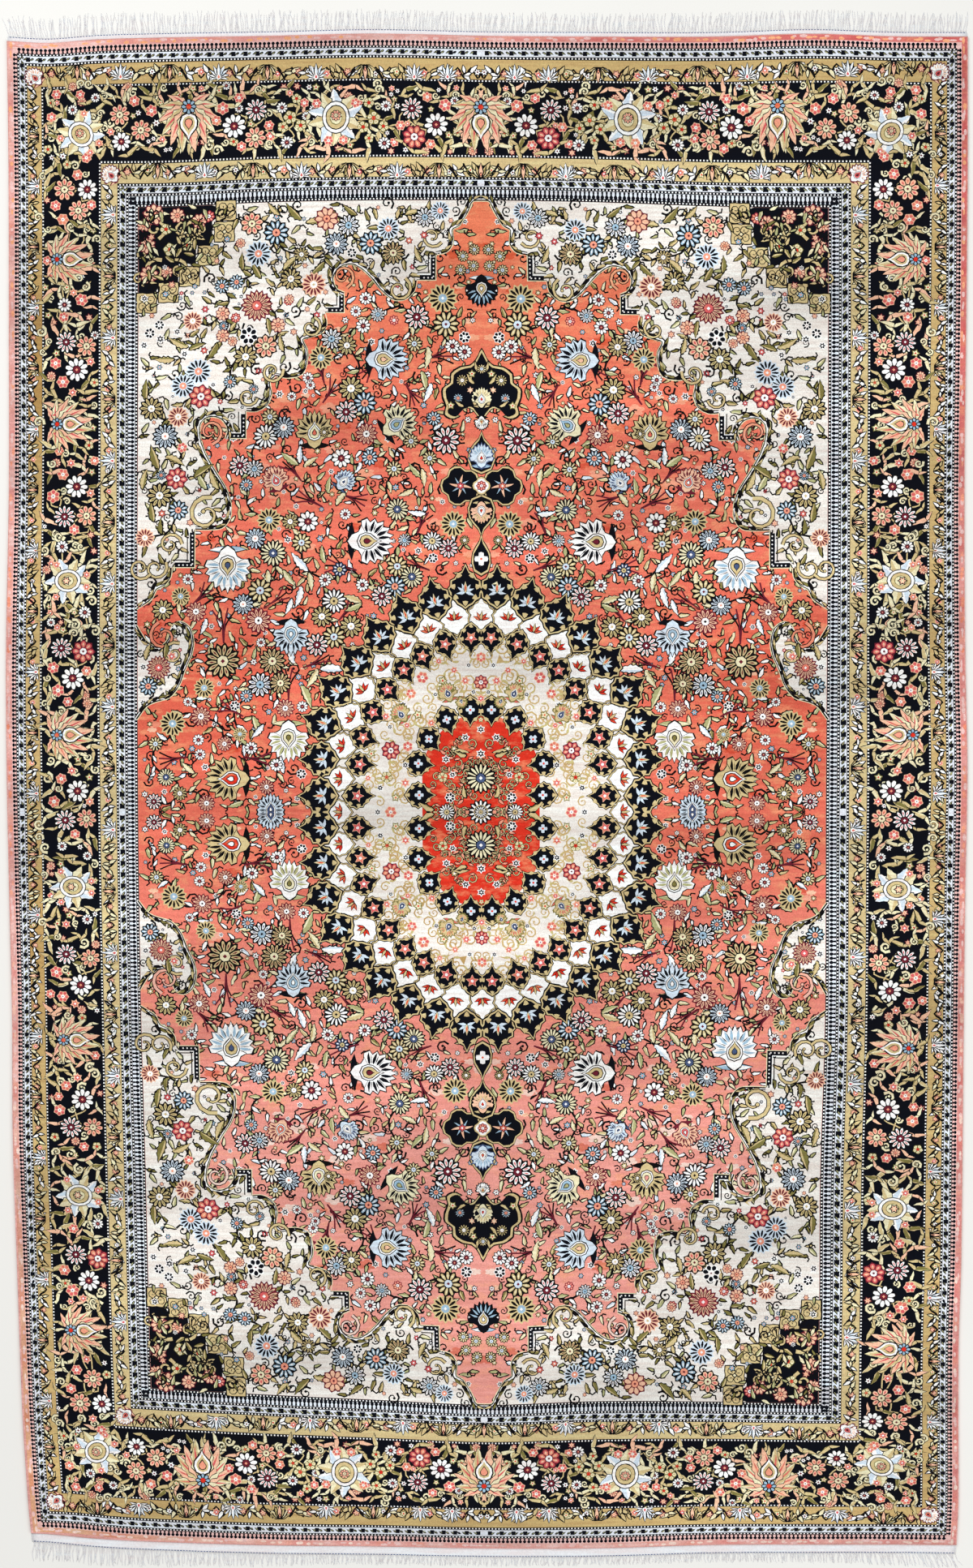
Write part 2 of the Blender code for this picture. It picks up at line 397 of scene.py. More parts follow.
# The plan's own lines: outer edge, field edge and axis, in plan steps
PLAN_ACROSS = (-586.0, -423.5, 0.0, 423.5, 586.0)
PLAN_ALONG = (-957.0, -753.5, 0.0, 753.5, 957.0)
NOMINAL_COLUMNS = (8.5, 171, 594.5, 1018, 1193)
NOMINAL_ROWS = (1905, 1728, 998, 244.5, 41)


@dataclass
class RugShape:
    """The rug's real outline, and how the ideal plan is bent to fill it."""

    width: float = 1334 * MM
    length: float = 2100 * MM
    pile_height: float = 4.5 * MM
    rim: float = 1.3 * MM
    weave_height: float = 1.4 * MM
    top_weave: float = 6.5 * MM
    bottom_weave: float = 12 * MM
    draw_in: float = 1.5 * MM
    shift: complex = 0j
    tables: dict[str, SmoothTable] = field(default_factory=dict)

    def __post_init__(self) -> None:
        """Make the tables that the outline and the bending read."""
        sides = [place * MM for place in SIDE_PLACES]
        ends = [place * MM for place in END_PLACES]
        self.tables = {
            "left": SmoothTable(sides, [inset * MM for inset in LEFT_INSETS]),
            "right": SmoothTable(sides, [inset * MM for inset in RIGHT_INSETS]),
            "top": SmoothTable(ends, [inset * MM for inset in TOP_INSETS]),
            "bottom": SmoothTable(ends, [inset * MM for inset in BOTTOM_INSETS]),
            "field_left": SmoothTable(FIELD_ROWS, FIELD_LEFT),
            "field_axis": SmoothTable(FIELD_ROWS, FIELD_AXIS),
            "field_right": SmoothTable(FIELD_ROWS, FIELD_RIGHT),
            "field_top": SmoothTable(FIELD_COLUMNS, FIELD_TOP),
            "field_bottom": SmoothTable(FIELD_COLUMNS, FIELD_BOTTOM),
        }

    def fit_to(self, low: Vector, high: Vector) -> None:
        """Shift the outline so that it lies where the solid cloth does.

        Args:
            low: the cloth's lowest corner.
            high: its highest corner.
        """
        ys = np.linspace(-self.length / 2, self.length / 2, 400)
        xs = np.linspace(-self.width / 2, self.width / 2, 400)
        middle_x = (self.left(ys).min() + self.right(ys).max()) / 2
        top = self.top(xs).max() + self.top_weave
        bottom = self.bottom(xs).min() - self.bottom_weave
        self.shift = complex((low.x + high.x) / 2 - middle_x, (low.y + high.y) / 2 - (top + bottom) / 2)

    def left(self, y: np.ndarray | float) -> np.ndarray:
        """The left edge's x."""
        return -self.width / 2 + self.tables["left"](y)

    def right(self, y: np.ndarray | float) -> np.ndarray:
        """The right edge's x."""
        return self.width / 2 - self.tables["right"](y)

    def top(self, x: np.ndarray | float) -> np.ndarray:
        """The pile's top end, as a y."""
        return self.length / 2 - self.tables["top"](x)

    def bottom(self, x: np.ndarray | float) -> np.ndarray:
        """The pile's bottom end, as a y."""
        return -self.length / 2 + self.tables["bottom"](x)

    def bend(self, plan: Points) -> Points:
        """Take points of the ideal plan to their real place on the rug, in metres.

        Args:
            plan: the points.

        Returns:
            The same points in metres.
        """
        row = np.interp(plan.imag, PLAN_ALONG, NOMINAL_ROWS)
        column = np.interp(plan.real, PLAN_ACROSS, NOMINAL_COLUMNS)
        y = (MIDDLE_PX.imag - row) * PLAN_STEP
        x = (column - MIDDLE_PX.real) * PLAN_STEP
        across = [
            self.left(y) + self.rim,
            (self.tables["field_left"](row) - MIDDLE_PX.real) * PLAN_STEP,
            (self.tables["field_axis"](row) - MIDDLE_PX.real) * PLAN_STEP,
            (self.tables["field_right"](row) - MIDDLE_PX.real) * PLAN_STEP,
            self.right(y) - self.rim,
        ]
        along = [
            self.bottom(x) + self.rim,
            (MIDDLE_PX.imag - self.tables["field_bottom"](column)) * PLAN_STEP,
            np.full_like(x, (MIDDLE_PX.imag - MEDALLION_PX.imag) * PLAN_STEP),
            (MIDDLE_PX.imag - self.tables["field_top"](column)) * PLAN_STEP,
            self.top(x) - self.rim,
        ]
        real_x = self.between(plan.real, PLAN_ACROSS, np.array(across))
        real_y = self.between(plan.imag, PLAN_ALONG, np.array(along))
        return real_x + 1j * real_y

    @staticmethod
    def between(place: np.ndarray, lines: Sequence[float], reads: np.ndarray) -> np.ndarray:
        """Read between the plan's lines, each of which has its own real place per point.

        Args:
            place: where the points are across the lines.
            lines: the plan's lines.
            reads: each line's real place, for each point.

        Returns:
            Each point's real place.
        """
        lines_at = np.array(lines)
        i = np.clip(np.searchsorted(lines_at, place, side="right") - 1, 0, len(lines) - 2)
        t = (place - lines_at[i]) / (lines_at[i + 1] - lines_at[i])
        each = np.arange(len(place))
        return reads[i, each] * (1 - t) + reads[i + 1, each] * t

    def plan_of(self, px: Sequence[float], py: Sequence[float]) -> Points:
        """Find the plan's points that lie at the given picture points.

        Args:
            px: how far they are from the picture's left side.
            py: how far they are from its top.

        Returns:
            The points in the plan.
        """
        target = ((np.array(px, float) - MIDDLE_PX.real) + 1j * (MIDDLE_PX.imag - np.array(py, float)))
        plan = np.interp(px, NOMINAL_COLUMNS, PLAN_ACROSS) + 1j * np.interp(
            np.array(py, float), NOMINAL_ROWS[::-1], PLAN_ALONG[::-1]
        )
        for _ in range(6):
            plan = plan + (target - self.bend(plan) / PLAN_STEP)
        return plan


class Pattern:
    """A drawing of flat shapes in the plan, later ones on top."""

    def __init__(self, shape: RugShape) -> None:
        """Start an empty drawing for a rug of the given shape."""
        self.shape = shape
        self.layers: list[tuple[Points, Yarn, Copies]] = []

    def at(self, px: float, py: float) -> complex:
        """The plan's point at a picture point."""
        return complex(self.shape.plan_of([px], [py])[0])

    def all_at(self, pairs: Iterable[Sequence[float]]) -> Points:
        """The plan's points at a row of picture points."""
        pairs = list(pairs)
        return self.shape.plan_of([pair[0] for pair in pairs], [pair[1] for pair in pairs])

    def lay(self, points: Points, yarn: Yarn, copies: Copies) -> None:
        """Lay one filled outline on top of what is drawn."""
        self.layers.append((points, yarn, copies))

    def on_axis(self, py: float) -> complex:
        """The plan's point on the long axis in a picture row."""
        return complex(0, self.at(AXIS_PX, py).imag)

    def nested(
        self,
        at: complex,
        place: complex,
        outline: Points,
        sizes: Sequence[tuple[float, Yarn]],
        copies: Copies,
    ) -> None:
        """Lay one outline at several sizes, one within the other.

        Args:
            at: the point that they share.
            place: a turn, or a turn and a scale.
            outline: the outline at unit size.
            sizes: each size with its yarn, the largest first.
            copies: how they are repeated.
        """
        for size, yarn in sizes:
            self.lay(at + size * place * outline, yarn, copies)

    def plant(self, spots: Sequence[Spot], copies: Copies, step: float) -> None:
        """Lay a table's flowers.

        Args:
            spots: the flowers.
            copies: how they are repeated.
            step: how many degrees each is turned past the one before it.
        """
        for k, (spot, at) in enumerate(zip(spots, self.all_at(spots))):
            self.flower(complex(at), spot.radius, spot.bloom, copies, step * k)

    def strip(self, path: Points, widths: float | np.ndarray, yarn: Yarn, copies: Copies) -> None:
        """Lay a band along a path, as a chain of four-sided pieces.

        Args:
            path: the points of its middle line.
            widths: its width, for all points or for each.
            yarn: its colour.
            copies: how it is repeated.
        """
        heading = np.gradient(path)
        heading = heading / np.maximum(np.abs(heading), 1e-9)
        offset = 0.5j * heading * widths
        left, right = path + offset, path - offset
        for i in range(len(path) - 1):
            self.lay(np.array([right[i], right[i + 1], left[i + 1], left[i]]), yarn, copies)

    def edged_strip(
        self, path: Points, widths: float | np.ndarray, edge: float, yarn: Yarn, rim: Yarn, copies: Copies
    ) -> None:
        """Lay a band with an outline of another yarn on both sides."""
        self.strip(path, widths + 2 * edge, rim, copies)
        self.strip(path, widths, yarn, copies)

    def flower(self, at: complex, radius: float, bloom: Bloom, copies: Copies, turn: float = 0.0) -> None:
        """Lay a flower, with separate petals where it is large enough to show them.

        Args:
            at: its place in the plan.
            radius: its radius.
            bloom: its rings of colours.
            copies: the quarters of the rug that it is mirrored to.
            turn: which way it points, in degrees.
        """
        recipe: Recipe = bloom.value
        at, copies = settled(at, copies)
        place = radius * turned(turn)
        if radius < 5.6:
            lobes = min(recipe.petals, 6)
            self.lay(at + 1.16 * place * lobed_shape(lobes, 0.38, False), recipe.edge, copies)
            self.lay(at + 0.86 * place * lobed_shape(lobes, 0.48, False), recipe.petal, copies)
            self.lay(at + 0.3 * radius * round_shape(4), recipe.heart, copies)
            return
        count = recipe.petals
        self.lay(at + 1.13 * place * lobed_shape(count, 0.2, False), recipe.edge, copies)
        width = (0.68 if count <= 10 else 0.52) * math.pi / count
        for k in range(count):
            spoke = place * turned(360 * k / count)
            self.lay(at + 0.96 * spoke * petal_shape(width, 0.36), recipe.petal, copies)
            if recipe.tip:
                self.lay(at + 0.84 * spoke * stripe_shape(width * 0.5, 0.5), recipe.tip, copies)
        self.lay(at + 0.42 * place * lobed_shape(6, 0.2, False), recipe.edge, copies)
        self.lay(at + 0.33 * radius * round_shape(7), recipe.heart, copies)
        self.lay(at + 0.13 * radius * round_shape(4), recipe.core, copies)

    def leaf(
        self,
        at: complex,
        length: float,
        turn: float,
        yarn: Yarn,
        copies: Copies,
        width: float = 0.36,
        bend: float = 0.0,
        teeth: int = 0,
        edge: Yarn = Yarn.INK,
        rim: float = 1.8,
    ) -> None:
        """Lay an outlined leaf that grows from a point, one half of it darker where it is large.

        Args:
            at: its place in the plan.
            length: how long it is.
            turn: which way it points, in degrees.
            yarn: its colour.
            copies: the quarters of the rug that it is mirrored to.
            width: how wide it is for its length.
            bend: how far it bends to a side.
            teeth: how many teeth a side has.
            edge: the outline's colour.
            rim: how wide its outline is.
        """
        place = length * turned(turn)
        grown = (length + 2 * rim) * turned(turn)
        wide = width * length / (length + 2 * rim) + 2 * rim / (length + 2 * rim)
        self.lay(at - rim * turned(turn) * 1j + grown * bent(leaf_shape(wide, teeth), bend), edge, copies)
        self.lay(at + place * bent(leaf_shape(width, teeth), bend), yarn, copies)
        if length > 13 and yarn in HALF_TONES:
            half = leaf_shape(width * 0.8)
            half = half[: len(half) // 2 + 1]
            self.lay(at + place * bent(half, bend), HALF_TONES[yarn], copies)

    def stem(
        self, points: Sequence[complex], width: float, yarn: Yarn, copies: Copies, steps: int = 4
    ) -> None:
        """Lay a thin smooth stem through a few points."""
        self.strip(smooth_path(points, steps), width, yarn, copies)

    def curl(
        self,
        at: complex,
        size: float,
        turn: float,
        yarn: Yarn,
        copies: Copies,
        flip: bool = False,
        width: float = 0.2,
        edge: Yarn = Yarn.INK,
        rim: float = 0.8,
    ) -> None:
        """Lay a scroll that starts at a point, bows out and winds in on itself.

        Args:
            at: its place in the plan.
            size: how large it is.
            turn: which way it points, in degrees.
            yarn: its colour.
            copies: the quarters of the rug that it is mirrored to.
            flip: whether it winds the other way.
            width: how wide it is for its length.
            edge: the outline's colour.
            rim: how wide its outline is.
        """
        t = np.linspace(0, 1, 15 if size > 18 else 10)
        angle = -0.5 * math.pi + 2.35 * math.pi * t
        winding = 0.62 * (1 - 0.78 * t) * np.exp(1j * angle)
        winding = winding - winding[0]
        if flip:
            winding = -winding.conj()
        path = at + size * turned(turn) * winding
        widths = size * width * (1 - 0.62 * t)
        self.edged_strip(path, widths, rim, yarn, edge, copies)
        tip = 0.5 * size * width * round_shape(6)
        self.lay(path[-1] + 1.5 * tip, edge, copies)
        self.lay(path[-1] + tip, yarn, copies)

    def palmette(
        self,
        at: complex,
        size: float,
        turn: float,
        copies: Copies,
        outer: Yarn,
        inner: Yarn,
        heart: Yarn,
        edge: Yarn = Yarn.INK,
        core: Yarn = Yarn.MAROON,
        lobes: int = 9,
    ) -> None:
        """Lay a crown of bent petals that rise from one foot around an onion-shaped heart.

        Args:
            at: its place in the plan.
            size: how large it is.
            turn: which way it points, in degrees.
            copies: the quarters of the rug that it is mirrored to.
            outer: the outer petals' colour.
            inner: the inner petals' colour.
            heart: the heart's colour.
            edge: the thin petals' colour.
            core: the colour in the heart.
            lobes: how many petals it has.
        """
        at, copies = settled(at, copies)
        place = size * turned(turn)
        foot = at - 0.75j * place
        for side in (1, -1):
            self.leaf(foot, 0.75 * size, turn + 122 * side, inner, copies, 0.4, 0.5 * side, 0, edge, 1.3)
        self.lay(at + (1 + 1.9 / size) * place * bell_shape(), edge, copies)
        self.lay(at + place * bell_shape(), outer, copies)
        for k, angle in enumerate((16, 36, 58, 82, 106)):
            for side in (1, -1):
                ray = place * turned(angle * side)
                if k < lobes // 2:
                    self.lay(at + ray * (0.4j + 0.58 * bent(leaf_shape(0.26), 0.2 * side)), inner, copies)
                self.lay(at + ray * turned(11 * side) * (0.42j + 0.46 * leaf_shape(0.12)), edge, copies)
        hearts = (
            (0.86, Yarn.INK), (0.77, Yarn.WHITE), (0.64, Yarn.INK), (0.56, heart),
            (0.3, Yarn.INK), (0.22, core),
        )
        self.nested(at - 0.12j * place, place, ogee_shape(0.95, 1.0), hearts, copies)


class Ring(NamedTuple):
    """The outer line of a border band, by its picture points at the left side and the top."""

    name: str
    px: float
    py: float
    ground: Yarn


RINGS = [
    Ring("edge", 8.5, 41, Yarn.CORAL_EDGE),
    Ring("outer_tines", 14.6, 47, Yarn.PINK_GROUND),
    Ring("beads_1", 20, 54.3, Yarn.NAVY),
    Ring("outer_stripe", 22.8, 57.4, Yarn.PEARL),
    Ring("beads_2", 29.3, 66, Yarn.NAVY),
    Ring("outer_guard", 32.2, 69.8, Yarn.BRONZE),
    Ring("beads_3", 49.4, 94.5, Yarn.NAVY),
    Ring("outer_line", 52.2, 98.2, Yarn.NAVY),
    Ring("main", 53.4, 99.8, Yarn.NAVY),
    Ring("beads_4", 120.4, 187.4, Yarn.NAVY),
    Ring("inner_guard", 123.8, 191.6, Yarn.GOLD),
    Ring("beads_5", 144, 215.2, Yarn.NAVY),
    Ring("inner_stripe", 147, 218.9, Yarn.PEARL),
    Ring("beads_6", 155, 227.3, Yarn.NAVY),
    Ring("inner_tines", 158.3, 231, Yarn.PEARL),
    Ring("beads_7", 167, 240.2, Yarn.NAVY),
    Ring("field", 170.6, 244.3, Yarn.IVORY),
]


class Band:
    """One border band that runs round the rug, between two plan rectangles."""

    def __init__(self, outer: Ring, inner: Ring) -> None:
        """Work out the band's two rectangles in the plan.

        Args:
            outer: the plan line at its outer side.
            inner: the plan line at its inner side.
        """
        self.ground = outer.ground
        self.outer = complex(MEDALLION_PX.real - outer.px, MEDALLION_PX.imag - outer.py)
        self.inner = complex(MEDALLION_PX.real - inner.px, MEDALLION_PX.imag - inner.py)

    def corner(self, depth: float) -> complex:
        """The right-hand top corner at a depth from the outer line, 0, to the inner, 1."""
        return self.outer + (self.inner - self.outer) * depth

    def top(self, share: float, depth: float) -> complex:
        """A point on the top run: share 0 is the axis and -1 the left corner."""
        corner = self.corner(depth)
        return complex(corner.real * share, corner.imag)

    def side(self, share: float, depth: float) -> complex:
        """A point on the left run: share 0 is the middle and 1 the top corner."""
        corner = self.corner(depth)
        return complex(-corner.real, corner.imag * share)

    def fill(self, pattern: Pattern, start: float = 0.0, end: float = 1.0, yarn: Yarn | None = None) -> None:
        """Lay the band's ground, or a line within it, in the master quarter.

        Args:
            pattern: the drawing.
            start: its start, as a share of the band's width.
            end: its end in the same way.
            yarn: its colour, or none for the band's own.
        """
        color = yarn or self.ground
        for run, count in ((self.top, 22), (self.side, 34)):
            sign = -1 if run == self.top else 1
            marks = [sign * i / count for i in range(count + 1)]
            for near, far in zip(marks, marks[1:]):
                quad = np.array([run(near, start), run(far, start), run(far, end), run(near, end)])
                pattern.lay(quad, color, Copies.QUARTERS)

    def march(self, pitch: float, depth: float) -> list[tuple[complex, complex, float]]:
        """Even places along the master quarter's two runs.

        Args:
            pitch: the distance between places, in plan steps.
            depth: where in the band they lie.

        Returns:
            For each place its point, the direction along the band and the real pitch.
        """
        corner = self.corner(depth)
        places = []
        for reach, base, step in (
            (corner.real, 1j * corner.imag, -1 + 0j),
            (corner.imag, -corner.real + 0j, 1j),
        ):
            count = max(1, round(reach / pitch))
            even = reach / count
            places += [(base + step * (k + 0.5) * even, step, even) for k in range(count)]
        return places


@dataclass
class Borders:
    """The narrow bands: coral edge, tines, beads and the light stripes."""

    bead_pitch: float = 4.2
    tine_pitch: float = 5.4
    stripe_pitch: float = 15.0
    bands: dict[str, Band] = field(default_factory=dict)

    def __post_init__(self) -> None:
        """Make every band from its ring and the next."""
        for ring, following in zip(RINGS, RINGS[1:]):
            self.bands[ring.name] = Band(ring, following)

    def draw(self, pattern: Pattern) -> None:
        """Draw the grounds and the small repeats.

        Args:
            pattern: the drawing.
        """
        for band in self.bands.values():
            band.fill(pattern)
        self.mottle(pattern, self.bands["edge"])
        for name in (name for name in self.bands if name.startswith("beads")):
            self.beads(pattern, self.bands[name])
        self.tines(pattern, self.bands["outer_tines"], outwards=True)
        self.tines(pattern, self.bands["inner_tines"], outwards=False)
        self.stripe(pattern, self.bands["outer_stripe"])
        self.stripe(pattern, self.bands["inner_stripe"])

    def mottle(self, pattern: Pattern, band: Band) -> None:
        """Paler and deeper blotches in the coral edge, where its pile is worn.

        Args:
            pattern: the drawing.
            band: the stripe.
        """
        dice = random.Random(12)
        for point, heading, _ in band.march(7.5, 0.5):
            wide = complex(1, 0) if heading.real else complex(0, 1)
            at = point + 3 * (dice.random() - 0.5) * heading * 1j + dice.uniform(-3, 3) * heading
            blotch = round_shape(6, 1.0, dice.uniform(0, 1))
            long, tall = dice.uniform(2.5, 5.5), dice.uniform(1.2, 2.4)
            yarn = dice.choice((Yarn.PINK_GROUND, Yarn.PINK_GROUND, Yarn.CORAL_PALE, Yarn.CORAL_EDGE))
            pattern.lay(at + wide * (blotch.real * long + 1j * blotch.imag * tall), yarn, Copies.QUARTERS)

    def beads(self, pattern: Pattern, band: Band) -> None:
        """White knots in a navy line.

        Args:
            pattern: the drawing.
            band: the stripe.
        """
        thick = abs(band.outer.imag - band.inner.imag)
        for point, heading, pitch in band.march(self.bead_pitch, 0.5):
            along = heading * pitch * 0.21
            across = heading * 1j * thick * 0.23
            quad = point + np.array([-along - across, along - across, along + across, -along + across])
            pattern.lay(quad, Yarn.WHITE, Copies.QUARTERS)

    def tines(self, pattern: Pattern, band: Band, outwards: bool) -> None:
        """Navy clubs that stand on the beads, heads away from them.

        Args:
            pattern: the drawing.
            band: the stripe.
            outwards: whether they point away from the middle.
        """
        foot = 0.98 if outwards else 0.02
        thick = abs(band.outer.real - band.inner.real)
        side = np.array([0.26, 0.17 + 0.4j, 0.44 + 0.62j, 0.28 + 0.88j])
        club = np.concatenate([side, [1j], -side.conj()[::-1]])
        for point, heading, pitch in band.march(self.tine_pitch, foot):
            out = -1j * heading if heading.real else 1j * heading
            out = out if outwards else -out
            tall = thick * (1.25 if heading.real else 0.95)
            shape = point + club.real * pitch * out * -1j + club.imag * tall * out
            pattern.lay(shape, Yarn.NAVY, Copies.QUARTERS)

    def stripe(self, pattern: Pattern, band: Band) -> None:
        """Small navy four-petalled crosses and gold leaves, in turn.

        Args:
            pattern: the drawing.
            band: the stripe.
        """
        half = abs(band.outer.real - band.inner.real) / 2
        for point, heading, pitch in band.march(self.stripe_pitch, 0.5):
            cross = 1.2 * half * turned(45) * lobed_shape(4, 0.38, False)
            pattern.lay(point + cross, Yarn.NAVY, Copies.QUARTERS)
            middle = point + heading * pitch / 2
            lean = math.degrees(math.atan2(heading.imag, heading.real)) - 55
            for shift in (-0.26, 0.2):
                foot = middle + heading * pitch * shift - 0.7 * half * turned(lean) * 1j
                pattern.leaf(
                    foot, 1.4 * half, lean, Yarn.MOSS, Copies.QUARTERS, 0.24, 0.1, 0, Yarn.NAVY, 1.0
                )


def even_row(first: float, last: float, count: int) -> list[float]:
    """Evenly spaced values, ends included."""
    return [first + (last - first) * k / (count - 1) for k in range(count)]


@dataclass
class Guards:
    """The two gold guard bands with their shells, palmettes and thin vines."""

    def draw(self, pattern: Pattern) -> None:
        """Draw both guards on all four sides.

        Args:
            pattern: the drawing.
        """
        outer_top = [149, 270, 390, 511, 552]
        inner_top = [137, 252.6, 372, 490, 593]
        self.top_run(pattern, outer_top, 87.0, 42, 11.5)
        self.top_run(pattern, inner_top[1:], 208.0, 137, 11.5)
        self.side_run(pattern, even_row(227, 1723, 11), 41, 8.4)
        self.side_run(pattern, even_row(262, 1626, 10), 134.5, 9.4)
        for px, py, turn in ((43, 93, 45), (137, 213, 45)):
            at = pattern.at(px, py)
            pattern.palmette(at, 11, turn, Copies.QUARTERS, Yarn.WHITE, Yarn.PEACH, Yarn.ROSE, Yarn.MAROON)

    def shell(self, pattern: Pattern, at: complex, size: float, turn: float, copies: Copies) -> None:
        """A blue and white striped lotus with a rose heart.

        Args:
            pattern: the drawing.
            at: its place in the plan.
            size: how large it is.
            turn: which way it points, in degrees.
            copies: the quarters of the rug that it is mirrored to.
        """
        foot = at - 0.55j * size * turned(turn)
        for share in (1.0, -1.0, 0.75, -0.75, 0.5, -0.5, 0.25, -0.25, 0.0):
            reach = size * (1.75 - 0.5 * abs(share))
            pattern.leaf(foot, reach, turn - 105 * share, Yarn.WHITE, copies, 0.24, 0.0, 0, Yarn.NAVY, 1.2)
        hearts = ((0.62 * size, Yarn.WHITE), (0.34 * size, Yarn.ROSE))
        pattern.nested(foot, turned(turn), ogee_shape(1.0, 1.0), hearts, copies)

    def fan(self, pattern: Pattern, at: complex, size: float, turn: float, copies: Copies) -> None:
        """A gold leaf fan outlined in dark yarn, between two bent arms.

        Args:
            pattern: the drawing.
            at: its place in the plan.
            size: how large it is.
            turn: which way it points, in degrees.
            copies: the quarters of the rug that it is mirrored to.
        """
        place = size * turned(turn)
        for side in (1, -1):
            arm = [at + place * z for z in (-0.8j, side * 0.8 - 0.5j, side * 1.5 + 0.1j, side * 1.9 + 0.8j)]
            pattern.stem(arm, 2.4, Yarn.INK, copies, 2)
        for share in (0.9, -0.9, 0.6, -0.6, 0.3, -0.3, 0.0):
            yarn = Yarn.PEACH if share == 0 else Yarn.STRAW if abs(share) == 0.6 else Yarn.GOLD
            reach = size * (1.5 - 0.4 * abs(share))
            way = turn - 90 * share
            pattern.leaf(at - 0.7j * place, reach, way, yarn, copies, 0.28, -0.2 * share, 0, Yarn.INK, 1.5)
        hearts = ((0.36, Yarn.INK), (0.22, Yarn.SALMON))
        pattern.nested(at - 0.4j * place, place, ogee_shape(1.0, 1.0), hearts, copies)

    def vine(
        self, pattern: Pattern, start: complex, end: complex, half: float, copies: Copies, seed: int
    ) -> None:
        """The thin stems, buds and small leaves between two motifs of a guard.

        Args:
            pattern: the drawing.
            start: where it starts.
            end: where it ends.
            half: half the stripe's width.
            copies: the quarters of the rug that it is mirrored to.
            seed: the seed of its draws.
        """
        dice = random.Random(seed)
        step = end - start
        out = 1j * step / abs(step)
        heading = bearing(step)
        count = max(3, round(abs(step) / 8.5))
        swing = 0.55
        knots = [
            start + step * (k + 0.5) / count + out * half * (swing if k % 2 else -swing)
            for k in range(count)
        ]
        pattern.stem([start, *knots, end], 2.5, Yarn.INK, copies, 3)
        for k in range(count):
            middle = start + step * (k + 0.5) / count
            side = 1 if k % 2 else -1
            if k % 3 == 1:
                bloom = dice.choice((Bloom.PEACH, Bloom.WHITE, Bloom.YELLOW, Bloom.STAR))
                at = middle - 0.1 * out * half * side
                pattern.flower(at, 0.42 * half, bloom, copies, dice.uniform(0, 90))
            else:
                yarn = dice.choice((Yarn.WHITE, Yarn.WHITE, Yarn.STRAW, Yarn.GOLD))
                lean = heading + side * dice.choice((40, 60, 130))
                pattern.leaf(middle, 1.05 * half, lean, yarn, copies, 0.4, 0.15 * side, 0, Yarn.INK, 1.5)
                pattern.leaf(middle, 0.8 * half, lean + 150, yarn, copies, 0.4, 0.15 * side, 0, Yarn.INK, 1.5)

    def top_run(
        self, pattern: Pattern, columns: list[float], py: float, corner_px: float, size: float
    ) -> None:
        """One guard along the top, for the master quarter.

        Args:
            pattern: the drawing.
            columns: the motifs' places along the picture.
            py: how far it is from the picture's top.
            corner_px: the same of the corner's motif.
            size: how large the motifs are.
        """
        stops = [corner_px, *columns]
        motifs: list[tuple[complex, bool]] = []
        for left, right in zip(stops, stops[1:]):
            if right - left > 60:
                motifs.append((pattern.at((left + right) / 2, py), False))
            motifs.append((pattern.at(right, py), True))
        row = [pattern.at(corner_px + 8, py)] + [at for at, _ in motifs] + [complex(0, motifs[-1][0].imag)]
        for i, (start, end) in enumerate(zip(row, row[1:])):
            if abs(end - start) > 12:
                self.vine(pattern, start, end, size, Copies.QUARTERS, 31 * i)
        for at, blue in motifs:
            if abs(at.real) < 5:
                self.fan(pattern, at.imag * 1j, size, 0, Copies.ENDS)
            elif blue:
                self.shell(pattern, at, size * 0.82, 0, Copies.QUARTERS)
            else:
                self.fan(pattern, at, size, 180, Copies.QUARTERS)

    def side_run(self, pattern: Pattern, rows: list[float], px: float, size: float) -> None:
        """One guard down the whole left side, mirrored to the right.

        Args:
            pattern: the drawing.
            rows: the motifs' places down the picture.
            px: how far it is from the picture's left side.
            size: how large the motifs are.
        """
        drift = SmoothTable(FIELD_ROWS, [left - FIELD_LEFT[4] for left in FIELD_LEFT])
        spots = [pattern.at(px + float(drift(py)), py) for py in rows]
        gap = rows[1] - rows[0]
        for i, (start, end) in enumerate(zip(spots, spots[1:])):
            middle = (start + end) / 2
            self.vine(pattern, start, middle, size, Copies.SIDES, 7 * i)
            self.vine(pattern, end, middle, size, Copies.SIDES, 7 * i)
        for py in rows[:-1]:
            self.fan(pattern, pattern.at(px + float(drift(py)), py + gap / 2), size, 90, Copies.SIDES)
        corner = pattern.at(px, 104 if px < 100 else 226)
        self.vine(pattern, corner, spots[0], size, Copies.SIDES, 3)
        self.vine(pattern, corner.conjugate(), spots[-1], size, Copies.SIDES, 4)
        if px < 100:
            for at in ((corner + spots[0]) / 2, (corner.conjugate() + spots[-1]) / 2):
                self.fan(pattern, at, size, 90, Copies.SIDES)
        for at in spots:
            self.shell(pattern, at, size, 90, Copies.SIDES)


class Motif(Enum):
    """The large motifs of the main border."""

    FLAME = "flame"
    CARTOUCHE = "cartouche"


class MainMotif(NamedTuple):
    """A large motif of the main border: its kind, its picture point and the way it points."""

    kind: Motif
    px: float
    py: float
    turn: float


SIDE_MOTIFS = [
    *(MainMotif(Motif.FLAME, 86, py, -90) for py in (317, 520, 903)),
    *(MainMotif(Motif.FLAME, px, py, -90) for px, py in ((94, 1279), (103, 1637))),
    *(MainMotif(Motif.CARTOUCHE, px, py, -90) for px, py in ((84, 713), (90, 1090), (98, 1470))),
]
TOP_MOTIFS = [
    MainMotif(Motif.FLAME, 233, 148, 180),
    MainMotif(Motif.CARTOUCHE, 414.5, 142, 180),
]

